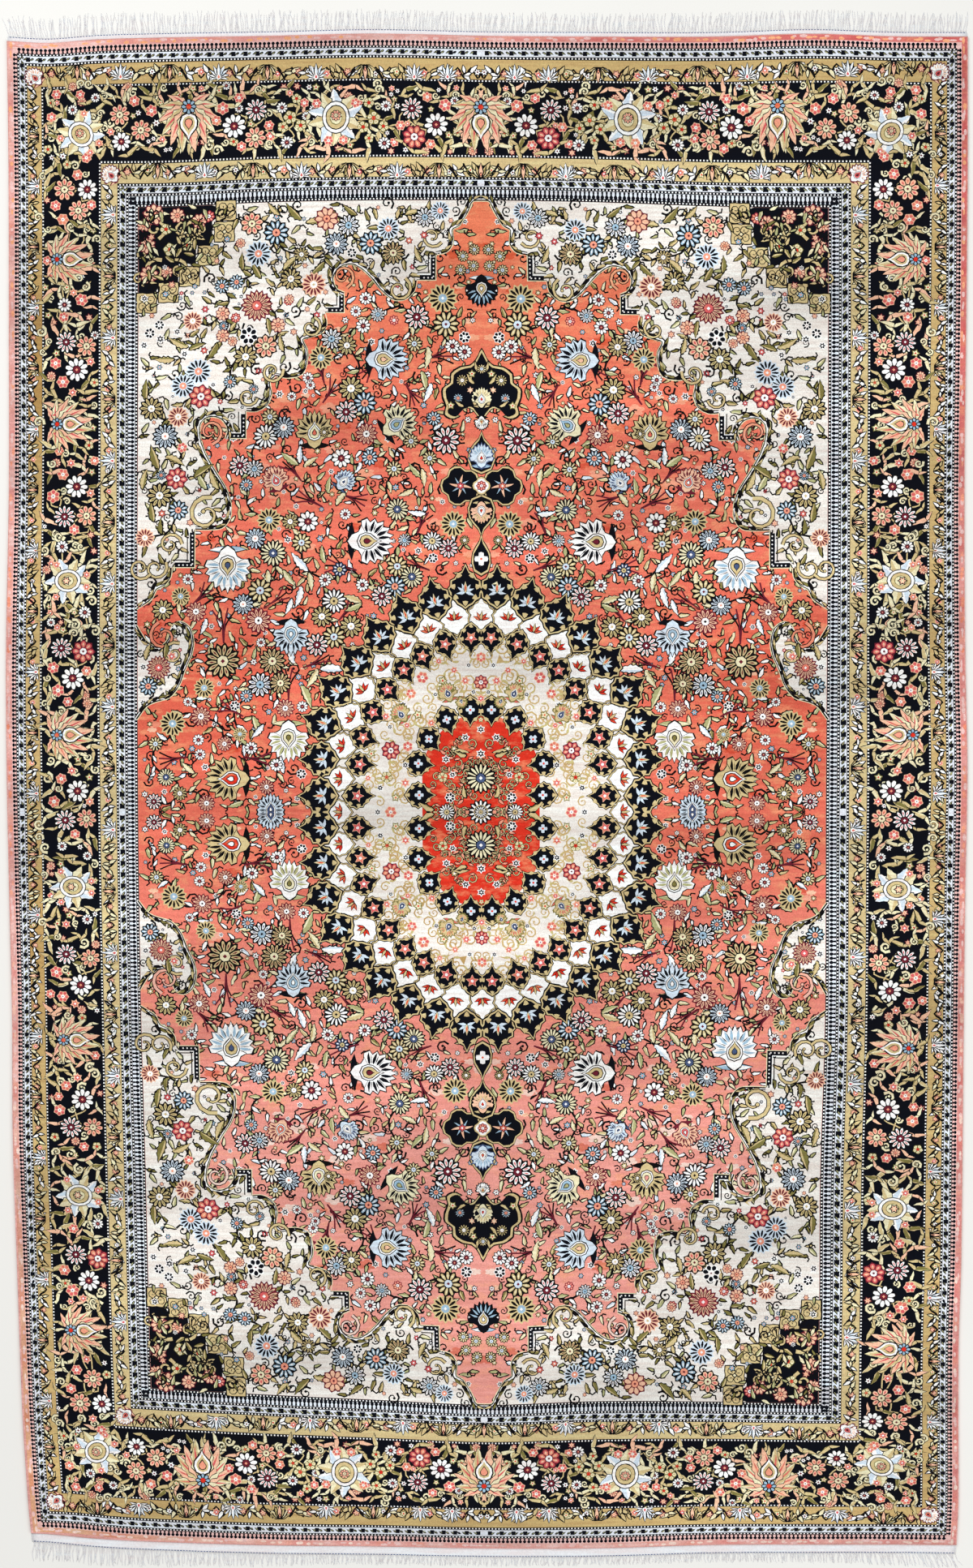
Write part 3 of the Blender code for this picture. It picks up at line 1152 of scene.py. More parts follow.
SIDE_SPOTS = [
    Spot(80, 231, 14, Bloom.SALMON), Spot(108, 231, 13, Bloom.WHITE), Spot(97, 257, 13, Bloom.SALMON),
    Spot(69, 251, 6.5, Bloom.STAR), Spot(113, 250, 6, Bloom.STAR), Spot(78, 268, 7, Bloom.STAR),
    Spot(96, 213, 6.5, Bloom.STAR), Spot(91, 358, 5, Bloom.STAR), Spot(101, 367, 7.5, Bloom.STAR),
    Spot(80, 373, 9, Bloom.WHITE), Spot(79, 388, 6, Bloom.STAR), Spot(82, 419, 13.5, Bloom.WHITE_RED),
    Spot(107, 424, 13, Bloom.SALMON), Spot(95, 453, 15, Bloom.WHITE), Spot(69, 445, 7, Bloom.STAR),
    Spot(112, 443, 5.5, Bloom.STAR), Spot(78, 468, 7.5, Bloom.STAR), Spot(90, 481, 5.5, Bloom.STAR),
    Spot(88, 568, 5.5, Bloom.STAR), Spot(78, 582, 7, Bloom.STAR), Spot(95, 597, 14.5, Bloom.WHITE),
    Spot(66, 609, 8, Bloom.STAR), Spot(112, 605, 5.5, Bloom.STAR), Spot(80, 634, 14, Bloom.WHITE_RED),
    Spot(107, 633, 13, Bloom.SALMON), Spot(92, 650, 6.5, Bloom.STAR), Spot(77, 671, 8, Bloom.WHITE),
    Spot(105, 752, 8, Bloom.WHITE), Spot(76, 796, 13.5, Bloom.WHITE_RED), Spot(103, 800, 13.5, Bloom.ROSE),
    Spot(90, 833, 14.5, Bloom.WHITE), Spot(66, 820, 7, Bloom.STAR), Spot(72, 848, 7.5, Bloom.STAR),
    Spot(107, 824, 6, Bloom.STAR), Spot(84, 862, 6, Bloom.STAR), Spot(89, 947, 5.5, Bloom.STAR),
    Spot(76, 957, 6.5, Bloom.STAR), Spot(96, 972, 14, Bloom.WHITE), Spot(67, 985, 7, Bloom.STAR),
    Spot(111, 985, 5.5, Bloom.STAR), Spot(81, 1008, 14, Bloom.WHITE_RED), Spot(107, 1006, 13, Bloom.SALMON),
    Spot(93, 1025, 6, Bloom.STAR), Spot(77, 1040, 6.5, Bloom.WHITE), Spot(108, 1052, 6, Bloom.WHITE),
    Spot(108, 1130, 7, Bloom.WHITE), Spot(82, 1136, 5.5, Bloom.STAR), Spot(82, 1173, 14, Bloom.WHITE_RED),
    Spot(112, 1178, 12.5, Bloom.SALMON), Spot(100, 1211, 14.5, Bloom.WHITE),
    Spot(70, 1195, 7.5, Bloom.STAR),
    Spot(78, 1225, 7, Bloom.STAR), Spot(93, 1234, 5.5, Bloom.STAR), Spot(96, 1325, 5.5, Bloom.STAR),
    Spot(82, 1335, 6.5, Bloom.STAR), Spot(102, 1352, 14.5, Bloom.WHITE), Spot(74, 1365, 7, Bloom.STAR),
    Spot(88, 1386, 14, Bloom.WHITE_RED), Spot(115, 1386, 12.5, Bloom.SALMON),
    Spot(104, 1410, 6, Bloom.STAR),
    Spot(121, 1505, 7, Bloom.WHITE), Spot(91, 1511, 6, Bloom.STAR), Spot(94, 1543, 14, Bloom.WHITE_RED),
    Spot(121, 1548, 13, Bloom.ROSE), Spot(110, 1575, 14, Bloom.WHITE), Spot(80, 1562, 7, Bloom.STAR),
    Spot(90, 1587, 8, Bloom.STAR), Spot(103, 1597, 5.5, Bloom.STAR), Spot(107, 1672, 5.5, Bloom.STAR),
    Spot(95, 1685, 6.5, Bloom.STAR), Spot(115, 1696, 13, Bloom.SALMON), Spot(88, 1708, 6.5, Bloom.STAR),
    Spot(99, 1726, 14, Bloom.SALMON), Spot(126, 1727, 13, Bloom.WHITE), Spot(115, 1745, 5.5, Bloom.STAR),
]
TOP_SPOTS = [
    Spot(148, 139, 13, Bloom.SALMON), Spot(150, 172, 12, Bloom.WHITE), Spot(174, 158, 13, Bloom.SALMON),
    Spot(166, 122, 6.5, Bloom.STAR), Spot(187, 134, 7, Bloom.STAR), Spot(193, 149, 5.5, Bloom.WHITE),
    Spot(137, 160, 5, Bloom.STAR), Spot(275, 131, 7.5, Bloom.STAR), Spot(267, 146, 6, Bloom.STAR),
    Spot(289, 153, 15, Bloom.WHITE), Spot(316, 133, 14, Bloom.WHITE_RED),
    Spot(315, 167, 13.5, Bloom.SALMON),
    Spot(295, 118, 6, Bloom.STAR), Spot(332, 152, 6, Bloom.STAR), Spot(298, 178, 6, Bloom.STAR),
    Spot(348, 130, 7, Bloom.WHITE), Spot(354, 173, 8, Bloom.WHITE), Spot(366, 119, 6, Bloom.YELLOW),
    Spot(358, 142, 8, Bloom.YELLOW), Spot(371, 152, 7, Bloom.YELLOW), Spot(349, 154, 6.5, Bloom.YELLOW),
    Spot(461, 143, 8, Bloom.YELLOW), Spot(448, 154, 7, Bloom.YELLOW), Spot(473, 153, 6.5, Bloom.YELLOW),
    Spot(455, 124, 6.5, Bloom.YELLOW), Spot(476, 128, 7, Bloom.WHITE), Spot(474, 174, 8, Bloom.WHITE),
    Spot(508, 131, 14, Bloom.WHITE_RED), Spot(511, 166, 14, Bloom.ROSE), Spot(538, 151, 15, Bloom.WHITE),
    Spot(494, 152, 6, Bloom.STAR), Spot(549, 127, 7.5, Bloom.STAR), Spot(527, 117, 6, Bloom.STAR),
    Spot(531, 175, 6, Bloom.STAR), Spot(70, 114, 6, Bloom.STAR), Spot(64, 142, 6, Bloom.STAR),
    Spot(107, 192, 6, Bloom.STAR), Spot(90, 133, 6.5, Bloom.WHITE), Spot(78, 190, 5.5, Bloom.WHITE),
    Spot(118, 118, 6, Bloom.WHITE),
]


@dataclass
class MainBorder:
    """The wide navy border: flame palmettes, cartouches, flowers and filling leaves."""

    seed: int = 5

    def draw(self, pattern: Pattern) -> None:
        """Draw the filling first and the large motifs over it.

        Args:
            pattern: the drawing.
        """
        self.filling(pattern)
        for motif in SIDE_MOTIFS:
            self.motif(pattern, motif, Copies.SIDES, 0.92)
        for motif in TOP_MOTIFS:
            self.motif(pattern, motif, Copies.QUARTERS, 1.1)
        self.flame(pattern, pattern.on_axis(148), 180, Copies.ENDS, 1.1)
        self.cartouche(pattern, pattern.at(100, 163), -135, Copies.QUARTERS, 0.95)
        pattern.plant(SIDE_SPOTS, Copies.SIDES, 17)
        pattern.plant(TOP_SPOTS, Copies.QUARTERS, 17)

    def motif(self, pattern: Pattern, motif: MainMotif, copies: Copies, scale: float) -> None:
        """Lay one large motif of the table.

        Args:
            pattern: the drawing.
            motif: its row of the table.
            copies: the quarters of the rug that it is mirrored to.
            scale: how large it is.
        """
        at = pattern.at(motif.px, motif.py)
        draw = self.flame if motif.kind is Motif.FLAME else self.cartouche
        draw(pattern, at, motif.turn, copies, scale)

    def flame(self, pattern: Pattern, at: complex, turn: float, copies: Copies, scale: float) -> None:
        """A palmette of long toothed petals that flare from a small dark flower.

        Args:
            pattern: the drawing.
            at: its place in the plan.
            turn: which way it points, in degrees.
            copies: the quarters of the rug that it is mirrored to.
            scale: how large it is.
        """
        place = scale * turned(turn)
        foot = at - 17j * place
        leaves = [(0, 50.0)]
        for angle in (17, 35, 54, 75, 100, 128):
            leaves += [(angle, 53 - 0.2 * angle), (-angle, 53 - 0.2 * angle)]
        for k, (angle, length) in enumerate(sorted(leaves, key=lambda leaf: -abs(leaf[0]))):
            way = turn + angle
            bend = 0.16 if angle > 0 else -0.16
            yarn = Yarn.STRAW if (k // 2) % 2 else Yarn.PEACH
            pattern.leaf(foot, length * scale, way, yarn, copies, 0.36, bend, 4, Yarn.INK, 1.2)
            inner = foot + 0.3 * length * scale * turned(way) * 1j
            pattern.leaf(inner, 0.55 * length * scale, way, Yarn.ROSE, copies, 0.1, bend, 0, Yarn.ROSE, 0.1)
        for lift, size, width, yarn in (
            (2j, 24, 0.95, Yarn.INK), (2j, 21, 0.92, Yarn.WHITE), (2j, 16, 0.9, Yarn.GOLD),
            (1j, 10, 1.0, Yarn.INK), (1j, 8, 1.0, Yarn.SALMON),
        ):
            pattern.lay(at + lift * place + size * place * ogee_shape(width, 1.0), yarn, copies)
        pattern.lay(foot + 9 * place * lobed_shape(8, 0.2), Yarn.NAVY, copies)
        for k in range(8):
            pattern.lay(foot + 8 * place * turned(45 * k) * petal_shape(0.24, 0.4), Yarn.SKY, copies)
        pattern.lay(foot + 3.2 * place * round_shape(6), Yarn.RED, copies)

    def cartouche(self, pattern: Pattern, at: complex, turn: float, copies: Copies, scale: float) -> None:
        """A white scrolled shield around a gold oval.

        Args:
            pattern: the drawing.
            at: its place in the plan.
            turn: which way it points, in degrees.
            copies: the quarters of the rug that it is mirrored to.
            scale: how large it is.
        """
        place = scale * turned(turn)
        for k in range(10):
            way = 36 * k
            yarn = Yarn.WHITE if k % 2 else Yarn.STRAW
            tip = at + 7 * place * turned(way) * 1j
            pattern.leaf(tip, 25 * scale, turn + way, yarn, copies, 0.6, 0.12 * (-1) ** k, 3, Yarn.NAVY, 1.2)
        for k in (0, 3, 6, 9):
            bud = at + 27 * place * turned(36 * k + 18) * 1j
            pattern.flower(bud, 5.2 * scale, Bloom.STAR, copies, 36 * k)
        oval = 0.86 * round_shape(16).real + 1j * round_shape(16).imag
        sizes = (
            (18.6, Yarn.INK), (17.4, Yarn.WHITE), (14, Yarn.INK), (12.8, Yarn.GOLD), (8.6, Yarn.OLIVE),
            (7.6, Yarn.STRAW),
        )
        pattern.nested(at, place, oval, sizes, copies)
        pattern.flower(at - 2j * place, 6 * scale, Bloom.SALMON, copies, turn)

    def filling(self, pattern: Pattern) -> None:
        """Scatter toothed leaves, buds and stems on the navy ground between the motifs.

        Args:
            pattern: the drawing.
        """
        dice = random.Random(self.seed)
        runs = (
            (SIDE_SPOTS, SIDE_MOTIFS, (56, 118), (189, 1776), 1100, Copies.SIDES),
            (TOP_SPOTS, TOP_MOTIFS, (57, 590), (103, 185), 700, Copies.QUARTERS),
        )
        for spots, motifs, columns, rows, tries, copies in runs:
            drift = SmoothTable(FIELD_ROWS, [left - FIELD_LEFT[4] for left in FIELD_LEFT])
            taken = [(spot.px, spot.py, spot.radius + 1) for spot in spots]
            taken += [(motif.px, motif.py, 24.0) for motif in motifs]
            picks: list[tuple[float, float, float]] = []
            for _ in range(tries * 3):
                py = dice.uniform(*rows)
                px = dice.uniform(*columns) + (float(drift(py)) if copies is Copies.SIDES else 0.0)
                size = dice.choice((3.8, 4.6, 5.6))
                if all(math.hypot(px - x, py - y) > r + size * 0.5 for x, y, r in taken):
                    taken.append((px, py, size))
                    picks.append((px, py, size))
            self.stems(pattern, [spot for spot in spots if spot.radius > 7.5], dice, copies)
            places = pattern.all_at(picks)
            for (_, _, size), at in zip(picks, places):
                self.filler(pattern, complex(at), size, dice, copies)

    def stems(self, pattern: Pattern, spots: list[Spot], dice: random.Random, copies: Copies) -> None:
        """Thin gold stems that swing from flower to flower.

        Args:
            pattern: the drawing.
            spots: the flowers.
            dice: the random draws.
            copies: the quarters of the rug that it is mirrored to.
        """
        places = [complex(at) for at in pattern.all_at(spots)]
        for start, end in zip(places, places[1:]):
            step = end - start
            if abs(step) > 120:
                continue
            for bow in (0.3, -0.22):
                sway = dice.uniform(0.7, 1.2) * bow * 1j * step * min(1.0, 40 / abs(step))
                knots = [start, start + 0.3 * step + sway, start + 0.7 * step - 0.6 * sway, end]
                pattern.stem(knots, 1.6, Yarn.GOLD, copies, 3)

    def filler(
        self, pattern: Pattern, at: complex, size: float, dice: random.Random, copies: Copies
    ) -> None:
        """One small leaf pair, bud or curl.

        Args:
            pattern: the drawing.
            at: its place in the plan.
            size: how large it is.
            dice: the random draws.
            copies: the quarters of the rug that it is mirrored to.
        """
        turn = dice.uniform(0, 360)
        kind = dice.random()
        if kind < 0.62:
            yarn = dice.choice((Yarn.STRAW, Yarn.STRAW, Yarn.GOLD, Yarn.GOLD, Yarn.PEACH))
            foot = at - 1.1 * size * turned(turn) * 1j
            bend = dice.choice((-0.5, 0.5))
            pattern.leaf(foot, 3.0 * size, turn, yarn, copies, 0.46, bend, 2, Yarn.NAVY, 0.9)
            way = turn + 80 * (1 if bend > 0 else -1)
            pattern.leaf(foot, 2.0 * size, way, yarn, copies, 0.42, -bend, 0, Yarn.NAVY, 0.7)
        elif kind < 0.8:
            pattern.curl(at - 0.6 * size, 2.1 * size, turn, Yarn.STRAW, copies, dice.random() < 0.5, 0.3)
        else:
            bloom = dice.choice((Bloom.WHITE, Bloom.STAR, Bloom.YELLOW, Bloom.PEACH))
            pattern.flower(at, size, bloom, copies, turn)


class Run(Enum):
    """How a stretch of the coral field's edge is finished."""

    SCROLL = "scroll"
    KEY = "key"
    PLAIN = "plain"


# Where the coral field meets the ivory one in the top left quarter, as picture points
COAST = [
    (
        Run.SCROLL,
        [(593, 245), (583, 246), (577, 259), (567, 275), (558, 281), (559, 297), (551, 308), (538, 311)],
    ),
    (Run.KEY, [(538, 311), (538, 343), (514, 343)]),
    (
        Run.SCROLL,
        [
            (514, 343), (511, 356), (500, 366), (486, 367), (472, 357), (460, 342), (448, 330), (434, 323),
            (419, 327), (411, 340), (415, 353), (425, 358),
        ],
    ),
    (Run.KEY, [(425, 358), (425, 383), (401, 383)]),
    (
        Run.SCROLL,
        [
            (401, 384), (403, 396), (398, 407), (386, 412), (374, 416), (379, 428), (379, 443), (373, 458),
            (358, 463), (340, 461),
        ],
    ),
    (Run.SCROLL, [(340, 461), (333, 468), (335, 483), (329, 497), (317, 504), (304, 504)]),
    (Run.KEY, [(304, 504), (304, 538), (278, 538)]),
    (
        Run.SCROLL,
        [
            (278, 538), (281, 526), (273, 514), (259, 511), (248, 519), (247, 536), (254, 557), (266, 578),
            (279, 599), (285, 618), (284, 636), (274, 648), (258, 650), (241, 650),
        ],
    ),
    (Run.KEY, [(241, 650), (241, 697), (212, 697)]),
    (Run.SCROLL, [(212, 697), (211, 708), (203, 719), (193, 724), (188, 735), (180, 741), (169, 748)]),
    (Run.PLAIN, [(169, 748), (169, 768)]),
    (
        Run.SCROLL,
        [
            (169, 768), (180, 786), (195, 795), (207, 786), (212, 770), (222, 763), (234, 770), (239, 786),
            (237, 803), (228, 824), (221, 843), (209, 857), (193, 862), (181, 868), (169, 884),
        ],
    ),
]

CORNER_DARK = [
    (169, 248), (262, 248), (272, 254), (271, 264), (262, 270), (262, 285), (261, 299),
    (242, 300), (242, 322),
    (221, 323), (220, 347), (197, 349), (190, 362), (169, 363),
]
CORNER_TILES = [(279, 257), (277, 283), (257, 312), (234, 338), (208, 358), (181, 371)]

IVORY_SPOTS = [
    Spot(311, 273, 14, Bloom.SALMON), Spot(341, 284, 15, Bloom.SKY), Spot(319, 310, 15, Bloom.NAVY),
    Spot(297, 297, 6, Bloom.PEACH), Spot(403, 267, 14, Bloom.PEACH), Spot(430, 275, 13, Bloom.WHITE_BLUE),
    Spot(415, 298, 14, Bloom.SKY_NAVY), Spot(457, 297, 14, Bloom.SKY), Spot(479, 279, 13, Bloom.NAVY),
    Spot(485, 309, 14, Bloom.BROWN), Spot(524, 265, 12, Bloom.WHITE_BLUE), Spot(543, 257, 11, Bloom.NAVY),
    Spot(317, 374, 18, Bloom.BLUSH), Spot(274, 350, 9, Bloom.SKY), Spot(292, 345, 9, Bloom.SKY),
    Spot(387, 348, 14, Bloom.MAROON), Spot(359, 341, 13, Bloom.GOLD), Spot(275, 384, 8.5, Bloom.PEACH),
    Spot(238, 393, 11, Bloom.MAROON), Spot(343, 398, 9, Bloom.PEACH), Spot(307, 411, 11, Bloom.BLACK),
    Spot(328, 424, 14, Bloom.SALMON), Spot(303, 437, 14, Bloom.GOLD), Spot(245, 455, 15, Bloom.NAVY),
    Spot(226, 473, 14, Bloom.NAVY), Spot(248, 486, 14, Bloom.ROSE), Spot(187, 501, 14, Bloom.GOLD),
    Spot(220, 511, 12, Bloom.MAROON), Spot(204, 535, 15, Bloom.SKY_NAVY), Spot(218, 587, 13, Bloom.ROSE),
    Spot(197, 608, 15, Bloom.GOLD), Spot(220, 626, 12, Bloom.SKY), Spot(197, 398, 6, Bloom.BLACK),
    Spot(185, 408, 6.5, Bloom.BLACK), Spot(198, 415, 5.5, Bloom.BLACK), Spot(178, 423, 5, Bloom.BLACK),
    Spot(276, 399, 6, Bloom.SKY), Spot(291, 389, 6, Bloom.ROSE), Spot(284, 468, 8, Bloom.SKY),
    Spot(313, 477, 6, Bloom.SKY), Spot(179, 660, 11, Bloom.MAROON), Spot(199, 583, 6, Bloom.SKY),
    Spot(200, 630, 5, Bloom.ROSE), Spot(196, 820, 14, Bloom.BLUSH), Spot(183, 843, 11, Bloom.SKY),
    Spot(212, 806, 5.5, Bloom.STAR), Spot(372, 311, 9, Bloom.GOLD), Spot(275, 411, 8, Bloom.PEACH),
    Spot(356, 368, 6, Bloom.ROSE), Spot(225, 549, 6, Bloom.STAR), Spot(434, 309, 6, Bloom.BLACK),
    Spot(357, 366, 6, Bloom.PEACH), Spot(287, 418, 6, Bloom.PEACH), Spot(523, 287, 5, Bloom.ROSE),
]

CORAL_SPOTS = [
    Spot(546, 365, 17, Bloom.NIGHT), Spot(514, 388, 15, Bloom.WHITE_RED),
    Spot(550, 397, 16, Bloom.GOLD_SKY),
    Spot(451, 365, 8, Bloom.WHITE), Spot(439, 381, 7, Bloom.WHITE), Spot(466, 385, 9, Bloom.WHITE_BLUE),
    Spot(448, 399, 9, Bloom.WHITE), Spot(426, 392, 5, Bloom.WHITE), Spot(409, 415, 13, Bloom.WHITE_BLUE),
    Spot(428, 423, 12, Bloom.GOLD), Spot(396, 438, 14, Bloom.NIGHT), Spot(511, 421, 10, Bloom.GOLD_SKY),
    Spot(558, 424, 9, Bloom.WHITE), Spot(573, 431, 9, Bloom.WHITE), Spot(573, 413, 7, Bloom.BLACK),
    Spot(433, 476, 15, Bloom.GOLD), Spot(450, 494, 14, Bloom.SKY), Spot(427, 505, 14, Bloom.WHITE_RED),
    Spot(452, 532, 13, Bloom.PLUM), Spot(535, 513, 9, Bloom.SKY), Spot(328, 535, 15, Bloom.DOTTED),
    Spot(350, 524, 14, Bloom.SKY_NAVY), Spot(333, 511, 10, Bloom.GOLD_SKY),
    Spot(550, 540, 17, Bloom.WHITE_RED),
    Spot(296, 571, 13, Bloom.WHITE_RED), Spot(314, 575, 11, Bloom.WHITE_BLUE), Spot(304, 595, 8, Bloom.SKY),
    Spot(380, 463, 7, Bloom.WHITE), Spot(383, 472, 6, Bloom.WHITE), Spot(360, 486, 6, Bloom.WHITE),
    Spot(345, 483, 5, Bloom.BLACK), Spot(421, 562, 12, Bloom.WHITE), Spot(456, 561, 10, Bloom.SKY),
    Spot(486, 575, 10, Bloom.GOLD_SKY), Spot(488, 598, 5, Bloom.SKY), Spot(490, 625, 14, Bloom.CREAM),
    Spot(559, 643, 15, Bloom.NIGHT), Spot(533, 664, 12, Bloom.DOTTED), Spot(553, 673, 12, Bloom.WHITE_RED),
    Spot(573, 663, 6, Bloom.GOLD), Spot(534, 685, 6, Bloom.BLACK), Spot(499, 663, 8, Bloom.WHITE_BLUE),
    Spot(332, 638, 14, Bloom.NIGHT), Spot(358, 640, 10, Bloom.GOLD), Spot(380, 640, 13, Bloom.WHITE),
    Spot(315, 661, 13, Bloom.SKY_NAVY), Spot(372, 666, 12, Bloom.GOLD_SKY), Spot(337, 679, 16, Bloom.CREAM),
    Spot(395, 661, 5, Bloom.SKY), Spot(426, 631, 7, Bloom.WHITE), Spot(490, 695, 13, Bloom.GOLD_SKY),
    Spot(508, 708, 14, Bloom.CREAM), Spot(487, 720, 13, Bloom.SKY), Spot(471, 732, 13, Bloom.WHITE_RED),
    Spot(447, 718, 8, Bloom.WHITE), Spot(419, 699, 9, Bloom.SLATE_GOLD), Spot(401, 712, 8, Bloom.WHITE),
    Spot(412, 738, 15, Bloom.DOTTED), Spot(397, 757, 13, Bloom.GOLD), Spot(433, 769, 14, Bloom.GOLD),
    Spot(412, 782, 14, Bloom.GOLD_SKY), Spot(391, 792, 14, Bloom.WHITE_RED),
    Spot(223, 732, 11, Bloom.NIGHT),
    Spot(201, 749, 13, Bloom.GOLD), Spot(242, 751, 12, Bloom.PLUM), Spot(232, 711, 7, Bloom.WHITE),
    Spot(321, 725, 15, Bloom.GOLD_SKY), Spot(300, 742, 13, Bloom.SKY_NAVY), Spot(319, 762, 15, Bloom.PLUM),
    Spot(275, 812, 21, Bloom.BROWN), Spot(336, 812, 16, Bloom.BROWN), Spot(321, 841, 15, Bloom.WHITE_BLUE),
    Spot(346, 839, 13, Bloom.BROWN), Spot(304, 855, 8, Bloom.SKY), Spot(352, 870, 11, Bloom.PLUM),
    Spot(373, 868, 7, Bloom.WHITE), Spot(213, 889, 15, Bloom.NIGHT), Spot(252, 845, 12, Bloom.NIGHT),
    Spot(248, 880, 12, Bloom.PLUM), Spot(313, 813, 5, Bloom.WHITE), Spot(322, 789, 6, Bloom.WHITE),
    Spot(232, 862, 6, Bloom.WHITE), Spot(290, 867, 6, Bloom.BLACK), Spot(296, 902, 8, Bloom.NIGHT),
    Spot(277, 914, 9, Bloom.PLUM), Spot(310, 919, 8, Bloom.WHITE), Spot(245, 909, 7, Bloom.WHITE),
    Spot(247, 927, 7, Bloom.WHITE), Spot(329, 967, 9, Bloom.PLUM), Spot(255, 987, 10, Bloom.PLUM),
    Spot(372, 951, 6, Bloom.BLACK), Spot(192, 914, 9, Bloom.GOLD_SKY), Spot(205, 955, 11, Bloom.CREAM),
    Spot(222, 975, 9, Bloom.GOLD), Spot(190, 985, 10, Bloom.WHITE_RED), Spot(341, 940, 8, Bloom.WHITE),
    Spot(507, 541, 9, Bloom.GOLD_SKY), Spot(530, 562, 9, Bloom.GOLD_SKY), Spot(400, 530, 6, Bloom.GOLD),
    Spot(583, 392, 4, Bloom.WHITE), Spot(486, 392, 6, Bloom.ROSE), Spot(405, 460, 4, Bloom.WHITE),
]


class Fan(NamedTuple):
    """A large palmette of the field: picture point, size, turn and its five yarns."""

    px: float
    py: float
    size: float
    turn: float
    outer: Yarn
    inner: Yarn
    heart: Yarn
    edge: Yarn
    core: Yarn


FIELD_FANS = [
    Fan(476, 440, 25, -90, Yarn.ICE, Yarn.NAVY, Yarn.GOLD, Yarn.INK, Yarn.PEACH),
    Fan(388, 528, 22, 0, Yarn.GOLD, Yarn.INK, Yarn.STRAW, Yarn.INK, Yarn.CORAL),
    Fan(491, 519, 22, -55, Yarn.STRAW, Yarn.NAVY, Yarn.SKY, Yarn.INK, Yarn.MOSS),
    Fan(456, 664, 27, -90, Yarn.WHITE, Yarn.NAVY, Yarn.GOLD, Yarn.INK, Yarn.MAROON),
    Fan(281, 697, 27, 180, Yarn.WHITE, Yarn.SKY, Yarn.GOLD, Yarn.INK, Yarn.SLATE),
    Fan(359, 781, 21, 180, Yarn.ICE, Yarn.NAVY, Yarn.SKY, Yarn.INK, Yarn.WHITE),
    Fan(356, 909, 24, 180, Yarn.WHITE, Yarn.MOSS, Yarn.STRAW, Yarn.INK, Yarn.OLIVE),
    Fan(282, 957, 26, 90, Yarn.GOLD, Yarn.INK, Yarn.RED, Yarn.INK, Yarn.WHITE),
    Fan(334, 993, 16, 0, Yarn.ICE, Yarn.NAVY, Yarn.SLATE, Yarn.INK, Yarn.WHITE),
    Fan(340, 588, 15, 20, Yarn.PEACH, Yarn.MAROON, Yarn.ROSE, Yarn.MAROON, Yarn.WHITE),
    Fan(425, 590, 13, -40, Yarn.ICE, Yarn.SLATE, Yarn.WHITE, Yarn.INK, Yarn.SLATE),
]


class Sprig(NamedTuple):
    """A large loose leaf: picture point of its foot, length, turn and bend."""

    px: float
    py: float
    length: float
    turn: float
    bend: float


FIELD_SPRAYS = [
    Sprig(372, 590, 34, 38, 0.0), Sprig(398, 494, 34, -35, 0.0), Sprig(400, 470, 30, 12, 0.0),
    Sprig(398, 622, 36, 62, 0.0), Sprig(530, 700, 34, 70, 0.0), Sprig(236, 744, 34, -48, 0.0),
    Sprig(326, 746, 34, -62, 0.0), Sprig(418, 762, 34, -40, 0.0), Sprig(520, 440, 40, -78, 0.0),
    Sprig(470, 440, 34, 130, 0.0), Sprig(500, 470, 30, -150, 0.0), Sprig(356, 860, 40, 0, 0.0),
    Sprig(300, 880, 34, 60, 0.0), Sprig(374, 820, 36, -70, 0.0), Sprig(276, 790, 44, 0, 0.0),
    Sprig(440, 700, 40, 75, 0.0), Sprig(300, 930, 34, -100, 0.0), Sprig(230, 930, 34, 100, 0.0),
    Sprig(420, 606, 34, -110, 0.0), Sprig(515, 655, 30, -20, 0.0),
]
FIELD_SPRIGS = [
    Sprig(380, 701, 30, 48, 0.1), Sprig(381, 703, 23, 195, 0.1), Sprig(400, 690, 20, 20, 0.2),
    Sprig(372, 720, 26, 175, 0.2), Sprig(446, 740, 26, 60, -0.2), Sprig(446, 741, 22, 125, 0.2),
    Sprig(395, 822, 32, -80, 0.2), Sprig(392, 822, 26, 160, 0.2), Sprig(372, 842, 30, 215, 0.2),
    Sprig(362, 815, 24, 20, 0.2), Sprig(330, 700, 22, 190, 0.2), Sprig(350, 700, 24, 205, -0.2),
    Sprig(360, 735, 20, 170, 0.2), Sprig(375, 572, 20, -50, 0.1), Sprig(368, 570, 26, 60, 0.1),
    Sprig(370, 568, 22, 5, 0.1), Sprig(510, 600, 20, 130, 0.3), Sprig(520, 585, 22, 60, 0.3),
    Sprig(525, 630, 22, 100, 0.3), Sprig(528, 425, 26, 190, 0.3), Sprig(520, 455, 24, 205, 0.2),
    Sprig(532, 470, 24, 170, 0.2), Sprig(520, 575, 22, 200, 0.2), Sprig(255, 600, 24, 40, 0.2),
    Sprig(255, 760, 20, 170, 0.2), Sprig(262, 790, 20, 160, -0.2), Sprig(312, 880, 24, 210, 0.2),
    Sprig(325, 890, 22, 150, 0.2), Sprig(240, 950, 20, 60, 0.2), Sprig(300, 985, 20, 120, 0.2),
    Sprig(350, 950, 22, 20, 0.2), Sprig(415, 620, 22, -20, 0.3), Sprig(405, 605, 20, 10, 0.3),
]
